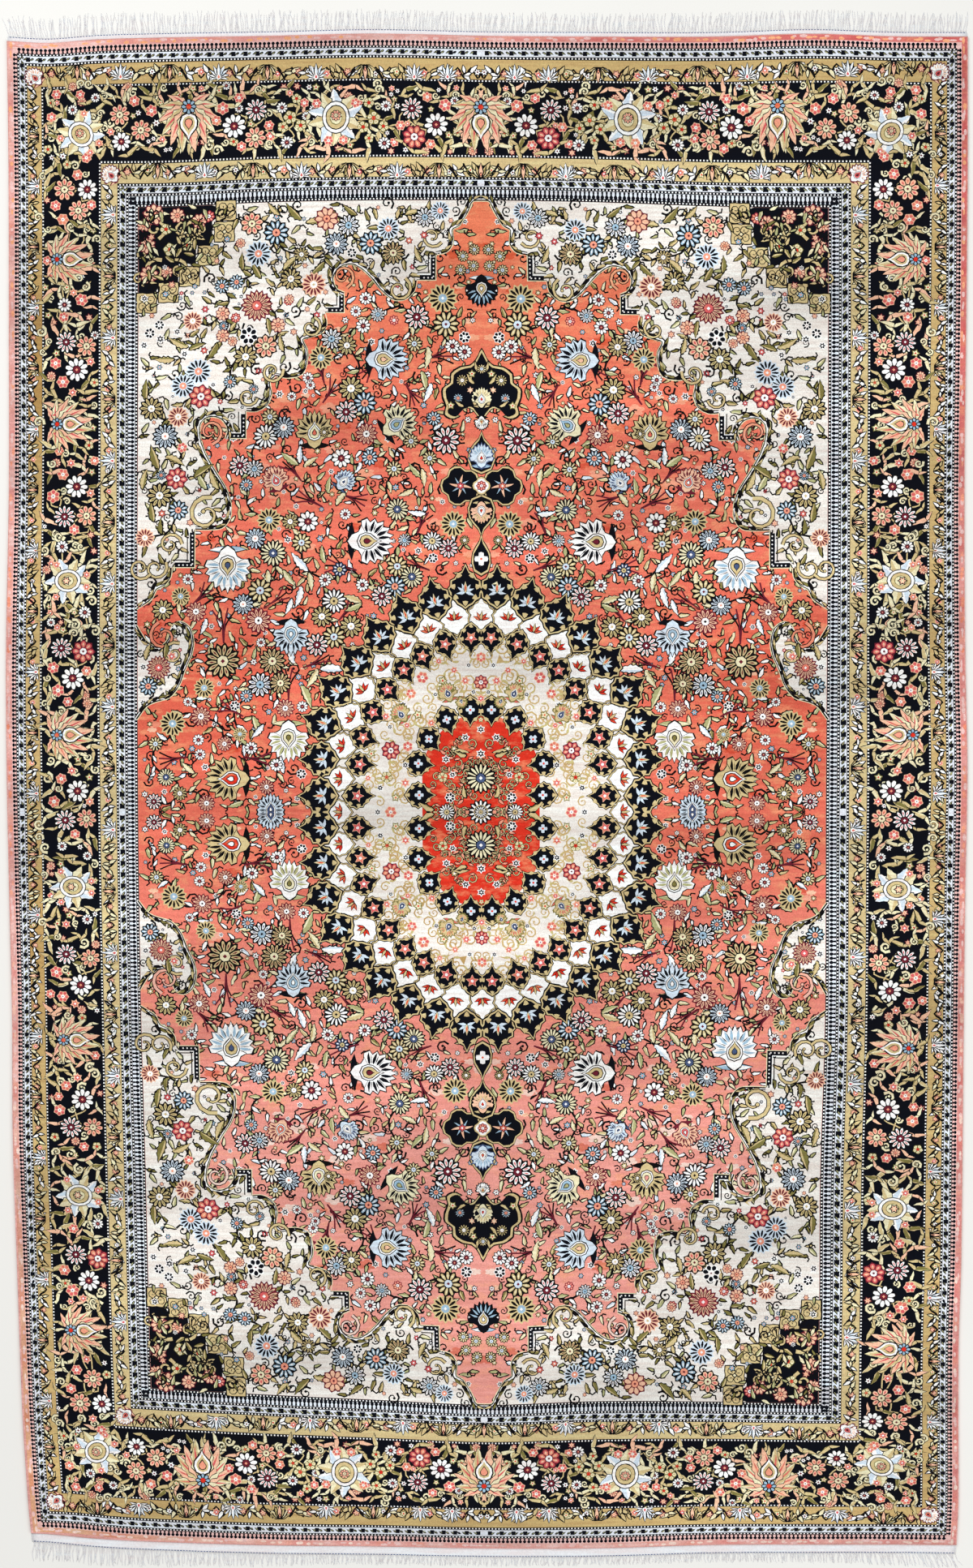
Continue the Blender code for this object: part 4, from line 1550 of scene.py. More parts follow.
IVORY_SPRIGS = [
    Sprig(372, 268, 26, 60, 0.3), Sprig(378, 272, 24, -70, 0.3), Sprig(400, 320, 22, 150, 0.3),
    Sprig(345, 262, 20, 60, 0.3), Sprig(322, 340, 22, 40, 0.2), Sprig(350, 330, 24, -30, 0.3),
    Sprig(300, 330, 20, 20, 0.3), Sprig(232, 425, 26, 75, 0.2), Sprig(234, 428, 20, -60, 0.2),
    Sprig(215, 440, 24, 100, 0.2), Sprig(268, 420, 24, 170, 0.4), Sprig(283, 470, 20, -60, 0.2),
    Sprig(196, 575, 30, 30, 0.2), Sprig(205, 560, 24, -100, 0.3), Sprig(240, 585, 26, -40, 0.3),
    Sprig(270, 600, 26, 40, 0.3), Sprig(180, 490, 24, 10, 0.2), Sprig(176, 600, 24, 0, 0.2),
    Sprig(190, 640, 24, 20, 0.2), Sprig(520, 320, 20, 40, 0.3), Sprig(440, 262, 20, 70, 0.3),
    Sprig(500, 262, 20, -60, 0.3), Sprig(330, 390, 20, 200, 0.2), Sprig(350, 430, 20, 30, 0.3),
    Sprig(205, 790, 20, 190, 0.3), Sprig(180, 810, 20, 0, 0.3), Sprig(200, 655, 18, 30, 0.5),
]


@dataclass
class Field:
    """The ivory and coral fields with their scrolls, vines and flowers."""

    seed: int = 11
    columns: int = 14
    rows: int = 25
    cloud_tries: int = 190
    filler_tries: int = 4400
    filler_sizes: tuple[float, ...] = (3.6, 4.6, 5.8)
    leaf_spacing: float = 6.5

    def draw(self, pattern: Pattern) -> None:
        """Draw the grounds, the dark corners, the scrolled edge and all flowers.

        Args:
            pattern: the drawing.
        """
        self.ground(pattern)
        coral = self.coast_outline(pattern)
        self.rim(pattern)
        pattern.lay(coral, Yarn.CORAL, Copies.ONCE)
        self.clouds(pattern, coral)
        self.corner(pattern)
        self.filling(pattern, coral)
        self.vines(pattern, CORAL_SPOTS, (Yarn.STRAW, Yarn.MOSS, Yarn.WHITE), 80)
        self.vines(pattern, IVORY_SPOTS, (Yarn.GOLD, Yarn.OLIVE), 70)
        self.coast(pattern)
        for spray, foot in zip(FIELD_SPRAYS, pattern.all_at(FIELD_SPRAYS)):
            self.spray(pattern, spray, complex(foot))
        self.sprigs(pattern, FIELD_SPRIGS, (Yarn.WHITE, Yarn.STRAW, Yarn.MOSS))
        self.sprigs(pattern, IVORY_SPRIGS, (Yarn.OLIVE, Yarn.GOLD))
        for fan in FIELD_FANS:
            pattern.palmette(
                pattern.at(fan.px, fan.py), fan.size, fan.turn, Copies.QUARTERS,
                fan.outer, fan.inner, fan.heart, fan.edge, fan.core, 11,
            )
        pattern.plant(IVORY_SPOTS, Copies.QUARTERS, 23)
        pattern.plant(CORAL_SPOTS, Copies.QUARTERS, 23)

    def ground(self, pattern: Pattern) -> None:
        """The ivory ground, in small squares so that it bends with the rug.

        Args:
            pattern: the drawing.
        """
        across = np.linspace(-PLAN_ACROSS[3], 0, self.columns + 1)
        along = np.linspace(0, PLAN_ALONG[3], self.rows + 1)
        for left, right in zip(across, across[1:]):
            for low, high in zip(along, along[1:]):
                square = [complex(left, low), complex(right, low), complex(right, high), complex(left, high)]
                pattern.lay(np.array(square), Yarn.IVORY, Copies.QUARTERS)

    @staticmethod
    def sprigs(pattern: Pattern, sprigs: list[Sprig], yarns: tuple[Yarn, ...]) -> None:
        """Large toothed leaves, in each of the yarns in turn.

        Args:
            pattern: the drawing.
            sprigs: their places.
            yarns: the yarns.
        """
        for k, (sprig, at) in enumerate(zip(sprigs, pattern.all_at(sprigs))):
            yarn = yarns[k % len(yarns)]
            pattern.leaf(complex(at), sprig.length, sprig.turn, yarn, Copies.QUARTERS, 0.34, sprig.bend, 5)

    @staticmethod
    def run_path(pattern: Pattern, run: Run, pairs: list[tuple[float, float]]) -> Points:
        """The plan's points along one stretch of the coral field's edge."""
        points = pattern.all_at(pairs)
        return smooth_path(points, 3) if run is Run.SCROLL else points

    def coast_outline(self, pattern: Pattern) -> Points:
        """The coral field's whole outline.

        Args:
            pattern: the drawing, which knows where picture points lie in the plan.

        Returns:
            The closed outline, anticlockwise or not.
        """
        path: list[complex] = []
        for run, pairs in COAST:
            path += list(self.run_path(pattern, run, pairs))
        path[0] = complex(0, path[0].imag)
        left = -PLAN_ACROSS[3]
        points = [complex(max(p.real, left), p.imag) for p in path]
        left_side = [complex(left, y) for y in np.linspace(points[-1].imag - 20, 0, 6)]
        return whole_outline(np.array([*points, *left_side]))

    def rim(self, pattern: Pattern) -> None:
        """A thin dark line just outside the coral field's edge.

        Args:
            pattern: the drawing.
        """
        for run, pairs in COAST:
            if run is not Run.PLAIN:
                pattern.strip(self.run_path(pattern, run, pairs), 3.0, Yarn.INK, Copies.QUARTERS)

    def clouds(self, pattern: Pattern, coral: Points) -> None:
        """Soft paler and deeper patches in the coral ground, flat and wide.

        Args:
            pattern: the drawing.
            coral: the coral field's outline.
        """
        dice = random.Random(self.seed + 3)
        places = []
        for _ in range(self.cloud_tries):
            places.append(complex(dice.uniform(-418, 0), dice.uniform(0, 750)))
        kept = np.array(places)[inside(np.array(places), coral)]
        for at in kept:
            wide = dice.uniform(5, 13)
            shape = lobed_shape(dice.choice((5, 6, 7)), 0.3)
            yarn = dice.choice((Yarn.CORAL_PALE, Yarn.PEACH, Yarn.CORAL_PALE, Yarn.CORAL_DEEP))
            shape = shape.real * wide + 1j * shape.imag * wide * dice.uniform(0.35, 0.6)
            if yarn is Yarn.PEACH:
                shape = shape * 0.6
            pattern.lay(complex(at) + shape, yarn, Copies.QUARTERS)

    def corner(self, pattern: Pattern) -> None:
        """The near-black corner with cream flowers, gold scrolls and gold tiles.

        Args:
            pattern: the drawing.
        """
        copies = Copies.QUARTERS
        dark = pattern.all_at(CORNER_DARK)
        left, top = -PLAN_ACROSS[3], PLAN_ALONG[3]
        dark = np.array([complex(max(p.real, left), min(p.imag, top)) for p in dark])
        pattern.lay(dark[::-1], Yarn.NAVY, copies)
        dice = random.Random(self.seed)
        spots = [
            Spot(190, 262, 13, Bloom.PEACH), Spot(219, 263, 9, Bloom.PEACH), Spot(246, 270, 9, Bloom.PEACH),
            Spot(182, 300, 10, Bloom.PEACH), Spot(184, 336, 11, Bloom.PEACH),
            Spot(210, 305, 8, Bloom.YELLOW),
            Spot(206, 333, 7, Bloom.PEACH), Spot(258, 264, 7, Bloom.ROSE), Spot(178, 275, 8, Bloom.PEACH),
            Spot(232, 300, 7, Bloom.YELLOW), Spot(205, 280, 7, Bloom.YELLOW),
        ]
        for px, py, size, turn, flip in (
            (196, 292, 22, 20, False), (226, 290, 24, -60, True), (200, 318, 24, 150, False),
            (240, 288, 18, 100, True), (216, 318, 20, 200, True), (186, 316, 18, 60, False),
            (250, 290, 16, 10, True), (176, 350, 16, 30, False), (230, 272, 16, 150, False),
        ):
            pattern.curl(pattern.at(px, py), size, turn, Yarn.GOLD, copies, flip, 0.2)
        for k, spot in enumerate(spots):
            pattern.flower(pattern.at(spot.px, spot.py), spot.radius, spot.bloom, copies, 31 * k)
        for _ in range(26):
            px, py = dice.uniform(174, 255), dice.uniform(254, 350)
            if (px - 172) / 95 + (py - 250) / 110 < 1.0:
                pattern.leaf(pattern.at(px, py), 12, dice.uniform(0, 360), Yarn.STRAW, copies, 0.36, 0.2, 3)
        for px, py in CORNER_TILES:
            at = pattern.at(px, py)
            tile = np.array([1.25, 1.0, 0.86, 1.0] * 4) * round_shape(16, 1.0, math.pi / 4)
            pattern.nested(at, 1, tile, ((14.6, Yarn.INK), (13.2, Yarn.GOLD)), copies)
            for turn in (45, 135, 225, 315):
                pattern.curl(at, 11, turn, Yarn.INK, copies, False, 0.1, Yarn.INK, 0.1)
            pattern.nested(at, 1, lobed_shape(4, 0.3), ((3.4, Yarn.INK), (2.0, Yarn.STRAW)), copies)

    def coast(self, pattern: Pattern) -> None:
        """Acanthus scrolls and square keys along the coral field's edge.

        Args:
            pattern: the drawing.
        """
        copies = Copies.QUARTERS
        for run, pairs in COAST:
            if run is Run.KEY:
                self.key(pattern, pattern.all_at(pairs))
            if run is not Run.SCROLL:
                continue
            path = smooth_path(pattern.all_at(pairs), 4)
            heading = np.gradient(path)
            heading = heading / np.abs(heading)
            out = -1j * heading
            swell = np.sin(np.linspace(0.15, math.pi - 0.15, len(path)))
            pattern.strip(path + out * 2.0, 3.2 + 3.4 * swell, Yarn.INK, copies)
            pattern.strip(path + out * 2.2, 0.8 + 1.5 * swell, Yarn.WHITE, copies)
            pattern.strip(path - out * 0.6, 0.9, Yarn.STRAW, copies)
            reach = np.concatenate([[0], np.cumsum(np.abs(np.diff(path)))])
            for k in range(1, int(reach[-1] / self.leaf_spacing)):
                i = int(np.searchsorted(reach, k * self.leaf_spacing))
                turn = bearing(out[i])
                yarn = (Yarn.INK, Yarn.GOLD, Yarn.OLIVE)[k % 3]
                foot = complex(path[i] + out[i] * (1.5 + 1.5 * swell[i]))
                pattern.leaf(foot, 7.5 + 2.5 * swell[i], turn - 52, yarn, copies, 0.4, 0.5, 0, Yarn.INK, 0.9)
        for px, py, size, turn, flip, yarn in (
            (428, 352, 24, 20, False, Yarn.CORAL_PALE), (262, 545, 26, 10, False, Yarn.CORAL_PALE),
            (500, 340, 26, 150, True, Yarn.GOLD), (388, 388, 22, 160, True, Yarn.GOLD),
            (205, 690, 24, 120, True, Yarn.GOLD), (196, 764, 30, 200, False, Yarn.CORAL_PALE),
            (262, 610, 36, 160, False, Yarn.GOLD), (350, 452, 24, 100, True, Yarn.GOLD),
            (318, 488, 20, 80, True, Yarn.GOLD), (545, 296, 22, 60, True, Yarn.GOLD),
            (186, 705, 24, 60, True, Yarn.GOLD), (222, 790, 24, 150, False, Yarn.GOLD),
            (225, 668, 24, 90, False, Yarn.GOLD),
        ):
            pattern.curl(pattern.at(px, py), size, turn, yarn, copies, flip, 0.13, Yarn.INK, 1.1)

    def key(self, pattern: Pattern, corners: Points) -> None:
        """A square step: a dark band of white dots and a thin line inside it.

        Args:
            pattern: the drawing.
            corners: its start, its elbow and its end.
        """
        copies = Copies.QUARTERS
        start, elbow, end = (complex(corner) for corner in corners)
        up = (start - elbow) / abs(start - elbow)
        side = (end - elbow) / abs(end - elbow)
        for depth, wide, yarn in (
            (3.4, 7.2, Yarn.NAVY), (0.2, 1.0, Yarn.STRAW), (7.2, 0.9, Yarn.WHITE), (9.6, 1.3, Yarn.INK),
        ):
            shift = depth * (up + side)
            near, far = shift - 0.5 * wide * (up + side), shift + 0.5 * wide * (up + side)
            for way, reach in ((up, start - elbow - up * depth), (side, end - elbow - side * depth)):
                quad = [elbow + near, elbow + near + reach, elbow + far + reach - way * wide, elbow + far]
                pattern.lay(self.anticlockwise(np.array(quad)), yarn, copies)
        for way, reach in ((up, abs(start - elbow)), (side, abs(end - elbow))):
            for k in range(1, int(reach / 5)):
                at = elbow + 3.4 * (up + side) + way * (k * 5 - 3.4)
                pattern.lay(at + 1.1 * round_shape(5), Yarn.WHITE, copies)

    @staticmethod
    def anticlockwise(points: Points) -> Points:
        """The outline in anticlockwise order."""
        return points if signed_area(points) > 0 else points[::-1]

    def vines(self, pattern: Pattern, spots: list[Spot], shades: tuple[Yarn, ...], reach: float) -> None:
        """Thin bent stems that join near flowers, with leaves along them.

        Args:
            pattern: the drawing.
            spots: the flowers, of which the small ones stand alone.
            shades: the leaves' yarns.
            reach: the longest stem.
        """
        spots = [spot for spot in spots if spot.radius > 7]
        dice = random.Random(self.seed + len(spots))
        places = [complex(at) for at in pattern.all_at(spots)]
        joined = {0}
        while len(joined) < len(places):
            pairs = (
                (abs(places[i] - places[j]), i, j)
                for i in joined
                for j in range(len(places))
                if j not in joined
            )
            gap, i, j = min(pairs)
            joined.add(j)
            if gap > reach:
                continue
            step = places[j] - places[i]
            bow = 1j * step * dice.choice((-0.24, 0.24))
            middle = (places[i] + places[j]) / 2 + bow
            path = smooth_path([places[i], middle, places[j]], 5)
            pattern.strip(path, 2.6, Yarn.INK, Copies.QUARTERS)
            for mark, side in ((3, 1), (6, -1), (8, 1)):
                foot = complex(path[mark])
                turn = bearing(path[mark + 1] - path[mark]) + side * 48
                shade = dice.choice(shades)
                pattern.leaf(foot, dice.uniform(9, 15), turn, shade, Copies.QUARTERS, 0.38, 0.2, 3)

    def spray(self, pattern: Pattern, spray: Sprig, foot: complex) -> None:
        """A sheaf of thin dark stems that open from one point.

        Args:
            pattern: the drawing.
            spray: its row of the table.
            foot: where it grows from.
        """
        for k, lean in enumerate((-20, -7, 6, 19)):
            way = spray.length * turned(spray.turn + lean) * 1j
            middle = foot + 0.5 * way * turned(-0.7 * lean)
            yarn = Yarn.MAROON if k % 2 else Yarn.INK
            pattern.stem([foot, middle, foot + way], 2.0, yarn, Copies.QUARTERS, 3)

    def filling(self, pattern: Pattern, coral: Points) -> None:
        """Scatter small leaves, buds and curls in the free ground of both fields.

        Args:
            pattern: the drawing.
            coral: the coral field's outline.
        """
        dice = random.Random(self.seed + 1)
        spots = [*IVORY_SPOTS, *CORAL_SPOTS]
        taken = [(complex(at), spot.radius) for at, spot in zip(pattern.all_at(spots), spots)]
        taken += [(pattern.at(fan.px, fan.py), fan.size * 0.8) for fan in FIELD_FANS]
        centers = np.array([at for at, _ in taken])
        radii = np.array([radius for _, radius in taken])
        middle = MedallionSize()
        picks: list[tuple[complex, float]] = []
        for _ in range(self.filler_tries):
            at = complex(dice.uniform(-417, -1), dice.uniform(2, 748))
            size = dice.choice(self.filler_sizes)
            if middle.covers(at) or at.real > -10:
                continue
            if (np.abs(centers - at) > radii + size * 0.68).all():
                centers = np.append(centers, at)
                radii = np.append(radii, size)
                picks.append((at, size))
        on_coral = inside(np.array([at for at, _ in picks]), coral)
        for (at, size), coral_here in zip(picks, on_coral):
            self.filler(pattern, at, size, bool(coral_here), dice)

    def filler(
        self, pattern: Pattern, at: complex, size: float, on_coral: bool, dice: random.Random
    ) -> None:
        """One leaf, bud or curl, in yarns that suit the ground.

        Args:
            pattern: the drawing.
            at: its place in the plan.
            size: how large it is.
            on_coral: whether it lies on the coral field.
            dice: the random draws.
        """
        copies = Copies.QUARTERS
        turn = dice.uniform(0, 360)
        kind = dice.random()
        leaves = (Yarn.OLIVE, Yarn.GOLD, Yarn.MOSS)
        blooms = (Bloom.ROSE, Bloom.SKY, Bloom.PEACH, Bloom.BLACK)
        if on_coral:
            leaves = (Yarn.STRAW, Yarn.WHITE, Yarn.MOSS, Yarn.GOLD)
            blooms = (Bloom.WHITE, Bloom.GOLD, Bloom.SKY, Bloom.BLACK)
        if kind < 0.6:
            foot = at - 1.1 * size * turned(turn) * 1j
            bow = dice.choice((-40, 40))
            tail = [
                foot + 0.4 * size * turned(turn) * 1j,
                foot - 0.8 * size * turned(turn + bow) * 1j,
                foot - 1.5 * size * turned(turn + 1.8 * bow) * 1j,
            ]
            pattern.strip(np.array(tail), 2.0, Yarn.INK, copies)
            yarn = dice.choice(leaves)
            pattern.leaf(foot, 2.3 * size, turn, yarn, copies, 0.4, dice.uniform(-0.4, 0.4), 2)
        elif kind < 0.78:
            flip = dice.random() < 0.5
            pattern.curl(at - 0.5 * size, 2.4 * size, turn, Yarn.INK, copies, flip, 0.18, Yarn.INK, 0.1)
        else:
            pattern.flower(at, 0.8 * size, dice.choice(blooms), copies, turn)


@dataclass
class MedallionSize:
    """The oval that the medallion covers, as half sizes in plan steps."""

    half_width: float = 214.0
    half_height: float = 296.0

    def covers(self, at: complex) -> bool:
        """Whether a point lies within the medallion."""
        return (abs(at.real) / self.half_width) ** 2.1 + (abs(at.imag) / self.half_height) ** 2.1 < 1


class CellFlower(Enum):
    """The flower inside a dark cell."""

    LILY = "lily"
    STAR = "star"
    CROSS = "cross"


class Cell(NamedTuple):
    """A cell of the medallion, by picture point, half size and the way its tip points."""

    px: float
    py: float
    width: float
    height: float
    turn: float


OUTER_CELLS = [
    Cell(574, 722, 19, 23, 0), Cell(536, 737, 19, 23, 12), Cell(500, 755, 19, 23, 22),
    Cell(467, 780, 19, 22, 34),
    Cell(440, 812, 20, 21, 45), Cell(414, 848, 19, 22, 52), Cell(398, 888, 19, 22, 70),
    Cell(395, 933, 20, 21, 90),
    Cell(394, 978, 21, 21, 90),
]
IVORY_CELLS = [
    Cell(594, 757, 14, 18, 0), Cell(560, 757, 15, 19, 10), Cell(528, 772, 15, 18, 18),
    Cell(498, 792, 14, 17, 30),
    Cell(472, 818, 14, 16, 38), Cell(446, 846, 14, 17, 45), Cell(432, 880, 14, 17, 60),
    Cell(420, 916, 13, 16, 80),
    Cell(417, 957, 12, 16, 90), Cell(417, 998, 12, 14, 90),
]
INNER_CELLS = [
    Cell(581, 783, 14, 18, 180), Cell(549, 791, 14, 18, 200), Cell(521, 806, 14, 17, 208),
    Cell(498, 823, 14, 17, 215), Cell(478, 847, 14, 17, 225), Cell(460, 875, 15, 17, 238),
    Cell(448, 906, 14, 17, 250), Cell(444, 939, 14, 17, 266), Cell(441, 978, 15, 18, 270),
]
HEART_CELLS = [
    Cell(580, 872, 15, 17, 180), Cell(551, 884, 14, 17, 200), Cell(529, 908, 15, 16, 222),
    Cell(516, 938, 15, 17, 262), Cell(517, 977, 15, 17, 270),
]
IVORY_EDGE = [
    (594, 738), (575, 728), (536, 742), (500, 760), (470, 786), (444, 816), (420, 850),
    (404, 889), (400, 933),
    (400, 998),
]
HEART_EDGE = [(594, 872), (580, 876), (554, 890), (533, 912), (522, 938), (521, 977), (521, 998)]

MEDALLION_SPOTS = [
    Spot(541, 812, 4, Bloom.STAR), Spot(560, 823, 4.5, Bloom.STAR), Spot(507, 852, 6, Bloom.STAR),
    Spot(503, 917, 6, Bloom.STAR), Spot(521, 832, 7, Bloom.STAR), Spot(532, 888, 5, Bloom.STAR),
    Spot(482, 922, 11, Bloom.ROSE), Spot(482, 998, 7, Bloom.STAR), Spot(454, 956, 4, Bloom.STAR),
    Spot(477, 955, 7, Bloom.YELLOW), Spot(502, 891, 4, Bloom.STAR), Spot(469, 968, 4.5, Bloom.BLACK),
    Spot(466, 998, 4.5, Bloom.BLACK), Spot(481, 893, 3.5, Bloom.BLACK), Spot(537, 853, 3.5, Bloom.BLACK),
    Spot(578, 817, 3.5, Bloom.BLACK), Spot(584, 850, 3.5, Bloom.BLACK), Spot(574, 906, 5, Bloom.BLACK),
    Spot(550, 933, 5, Bloom.BLACK), Spot(558, 952, 4.5, Bloom.BLACK), Spot(555, 980, 6, Bloom.BLACK),
    Spot(551, 998, 10, Bloom.DOTTED), Spot(546, 955, 6, Bloom.YELLOW), Spot(458, 926, 5, Bloom.YELLOW),
    Spot(500, 962, 5.5, Bloom.STAR), Spot(488, 980, 5, Bloom.YELLOW), Spot(515, 878, 5.5, Bloom.YELLOW),
    Spot(497, 866, 5, Bloom.BLACK), Spot(546, 836, 5.5, Bloom.YELLOW), Spot(574, 836, 5.5, Bloom.STAR),
    Spot(500, 940, 4.5, Bloom.BLACK), Spot(476, 880, 5, Bloom.STAR), Spot(560, 920, 5, Bloom.GOLD),
]


@dataclass(frozen=True)
class Tendrils:
    """The curls that fill the ground between two ovals, by their half sizes in plan steps."""

    yarn: Yarn
    leaf: Yarn
    rim: Yarn
    inner: tuple[float, float]
    outer: tuple[float, float]
    count: int
    scale: float
    curl_rim: float
    leaf_rim: float


IVORY_TENDRILS = Tendrils(
    Yarn.BRONZE, Yarn.KHAKI, Yarn.BRONZE, (84.0, 128.0), (178.0, 250.0), 100, 1, 0.15, 0.2
)
HEART_TENDRILS = Tendrils(
    Yarn.GOLD, Yarn.SALMON, Yarn.INK, (12.0, 12.0), (66.0, 108.0), 44, 0.72, 0.75, 1.0
)


@dataclass
class Medallion:
    """The oval of nested cells around a red heart."""

    seed: int = 3

    def draw(self, pattern: Pattern) -> None:
        """Draw the grounds, the four rings of cells and what lies between them.

        Args:
            pattern: the drawing.
        """
        copies = Copies.QUARTERS
        pattern.lay(self.ground(pattern, IVORY_EDGE), Yarn.IVORY, Copies.ONCE)
        self.tendrils(pattern, IVORY_TENDRILS)
        pattern.lay(self.ground(pattern, HEART_EDGE), Yarn.RED, Copies.ONCE)
        self.tendrils(pattern, HEART_TENDRILS)
        for cell, at in zip(IVORY_CELLS, pattern.all_at(IVORY_CELLS)):
            self.ivory_cell(pattern, cell, complex(at))
        for cells, filling in (
            (OUTER_CELLS, CellFlower.LILY), (INNER_CELLS, CellFlower.STAR), (HEART_CELLS, CellFlower.CROSS),
        ):
            for cell, at in zip(cells, pattern.all_at(cells)):
                self.dark_cell(pattern, cell, complex(at), filling)
        pattern.plant(MEDALLION_SPOTS, copies, 20)
        for px, py, size, turn in ((552, 851, 11, 20), (494, 877, 11, 40), (569, 862, 6, 200)):
            pattern.palmette(
                pattern.at(px, py), size, turn, copies,
                Yarn.GOLD, Yarn.ROSE, Yarn.SLATE, Yarn.OLIVE, Yarn.WHITE, 7,
            )
        for py, radius, bloom in (
            (807, 6, Bloom.STAR), (838, 8.5, Bloom.ROSE), (858, 5, Bloom.STAR), (896, 5, Bloom.BLACK),
            (926, 5.5, Bloom.BLACK), (884, 3.5, Bloom.YELLOW), (956, 18, Bloom.CREAM),
        ):
            pattern.flower(pattern.on_axis(py), radius, bloom, Copies.ENDS)
        pattern.flower(0j, 15, Bloom.DOTTED, Copies.ONCE)
        pattern.lay(9 * round_shape(10), Yarn.GOLD, Copies.ONCE)
        pattern.flower(0j, 8, Bloom.DOTTED, Copies.ONCE)
        leaves = ((575, 980, 14, 40), (560, 925, 16, -60), (535, 995, 18, 90), (575, 928, 14, 100))
        for px, py, size, turn in leaves:
            pattern.leaf(pattern.at(px, py), size, turn, Yarn.GOLD, copies, 0.45, 0.5, 3)

    def ground(self, pattern: Pattern, edge: list[tuple[float, float]]) -> Points:
        """The closed outline of a rounded ground.

        Args:
            pattern: the drawing.
            edge: a quarter of the outline, in the picture.

        Returns:
            The outline in the plan.
        """
        points = smooth_path(pattern.all_at(edge), 3)
        points[0] = complex(0, points[0].imag)
        points[-1] = complex(points[-1].real, 0)
        return whole_outline(points)

    def tendrils(self, pattern: Pattern, tendrils: Tendrils) -> None:
        """Thin curls and leaves over the part of an oval between two others.

        Args:
            pattern: the drawing.
            tendrils: where they are, and their yarns and number.
        """
        copies = Copies.QUARTERS
        dice = random.Random(self.seed + tendrils.count)
        near, far = tendrils.inner, tendrils.outer
        for _ in range(tendrils.count):
            angle = dice.uniform(0.02, 0.5) * math.pi
            share = dice.uniform(0.05, 0.95)
            at = complex(
                -math.cos(angle) * (near[0] + (far[0] - near[0]) * share),
                math.sin(angle) * (near[1] + (far[1] - near[1]) * share),
            )
            turn = dice.uniform(0, 360)
            size = dice.uniform(9, 15) * tendrils.scale
            flip = dice.random() < 0.5
            pattern.curl(at, size, turn, tendrils.yarn, copies, flip, 0.14, tendrils.rim, tendrils.curl_rim)
            size = dice.uniform(6, 9)
            turn += 70
            pattern.leaf(at, size, turn, tendrils.leaf, copies, 0.4, 0.2, 0, tendrils.rim, tendrils.leaf_rim)

    def shell(self, cell: Cell) -> Points:
        """A cell's four-lobed outline with a pointed tip, at unit turn.

        Args:
            cell: the cell.

        Returns:
            The outline.
        """
        side = np.array([
            0.2 - 0.86j, 0.44 - 0.76j, 0.6 - 0.58j, 0.86 - 0.46j, 0.88 - 0.24j, 1.03 - 0.06j, 0.86 + 0.12j,
            0.86 + 0.36j, 0.62 + 0.46j, 0.48 + 0.68j, 0.2 + 0.8j,
        ])
        side = side.real * cell.width + 1j * side.imag * cell.height
        return np.concatenate([[-1.0j * cell.height], side, [1.16j * cell.height], -side.conj()[::-1]])

    def ivory_cell(self, pattern: Pattern, cell: Cell, at: complex) -> None:
        """A pale cell with a small red and gold palmette.

        Args:
            pattern: the drawing.
            cell: the cell.
            at: its place in the plan.
        """
        at, copies = settled(at, Copies.QUARTERS)
        shell = 1.25 * self.shell(cell) * turned(cell.turn)
        sizes = ((1.12, Yarn.INK), (1.06, Yarn.GOLD), (0.99, Yarn.INK), (0.95, Yarn.WHITE))
        pattern.nested(at, 1, shell, sizes, copies)
        foot = at - 4j * turned(cell.turn)
        petals = ((72, Yarn.RED), (-72, Yarn.RED), (36, Yarn.RED), (-36, Yarn.RED), (0, Yarn.GOLD))
        for angle, yarn in petals:
            pattern.leaf(foot, 10.5, cell.turn + angle, yarn, copies, 0.3, 0.1, 0, Yarn.INK, 0.9)

    def dark_cell(self, pattern: Pattern, cell: Cell, at: complex, filling: CellFlower) -> None:
        """A navy cell with a gold rim, gold lobes inside it and a pale flower.

        Args:
            pattern: the drawing.
            cell: its row of the table.
            at: its middle in the plan.
            filling: the flower inside it.
        """
        copies = Copies.QUARTERS
        turn = turned(cell.turn)
        shell = (1.1 if filling is CellFlower.LILY else 1.04) * self.shell(cell) * turn
        pattern.nested(at, 1, shell, ((1.1, Yarn.INK), (1.02, Yarn.GOLD), (0.93, Yarn.NAVY)), copies)
        for angle in (32, -32, 84, -84, 128, -128, 180):
            spoke = turned(angle) * 1j
            lobe = (spoke.real * cell.width + 1j * spoke.imag * cell.height) * 0.8
            size = 0.19 * (cell.width + cell.height) / 2
            trefoil = size * turned(angle + cell.turn) * lobed_shape(3, 0.3, False)
            pattern.lay(at + lobe * turn + trefoil, Yarn.GOLD, copies)
        if filling is CellFlower.LILY:
            for angle in (28, -28, 62, -62, 105, -105):
                way = cell.turn + angle
                pattern.leaf(at - 5j * turn, 11.5, way, Yarn.ICE, copies, 0.34, 0.1, 0, Yarn.NAVY, 0.3)
            pattern.leaf(at - 6j * turn, 14.5, cell.turn, Yarn.STRAW, copies, 0.3, 0.0, 0, Yarn.NAVY, 0.4)
            pattern.leaf(at - 4j * turn, 9.5, cell.turn, Yarn.RED, copies, 0.22, 0.0, 0, Yarn.RED, 0.1)
        elif filling is CellFlower.STAR:
            star = lobed_shape(5, 0.52, False)
            pattern.nested(at, turn, star, ((8.4, Yarn.PEACH), (7.2, Yarn.ROSE)), copies)
            pattern.lay(at + 2.2 * round_shape(5), Yarn.WHITE, copies)
        else:
            pattern.lay(at + 5.6 * turn * lobed_shape(4, 0.5), Yarn.ICE, copies)
            pattern.lay(at + 1.6 * round_shape(5), Yarn.RED, copies)


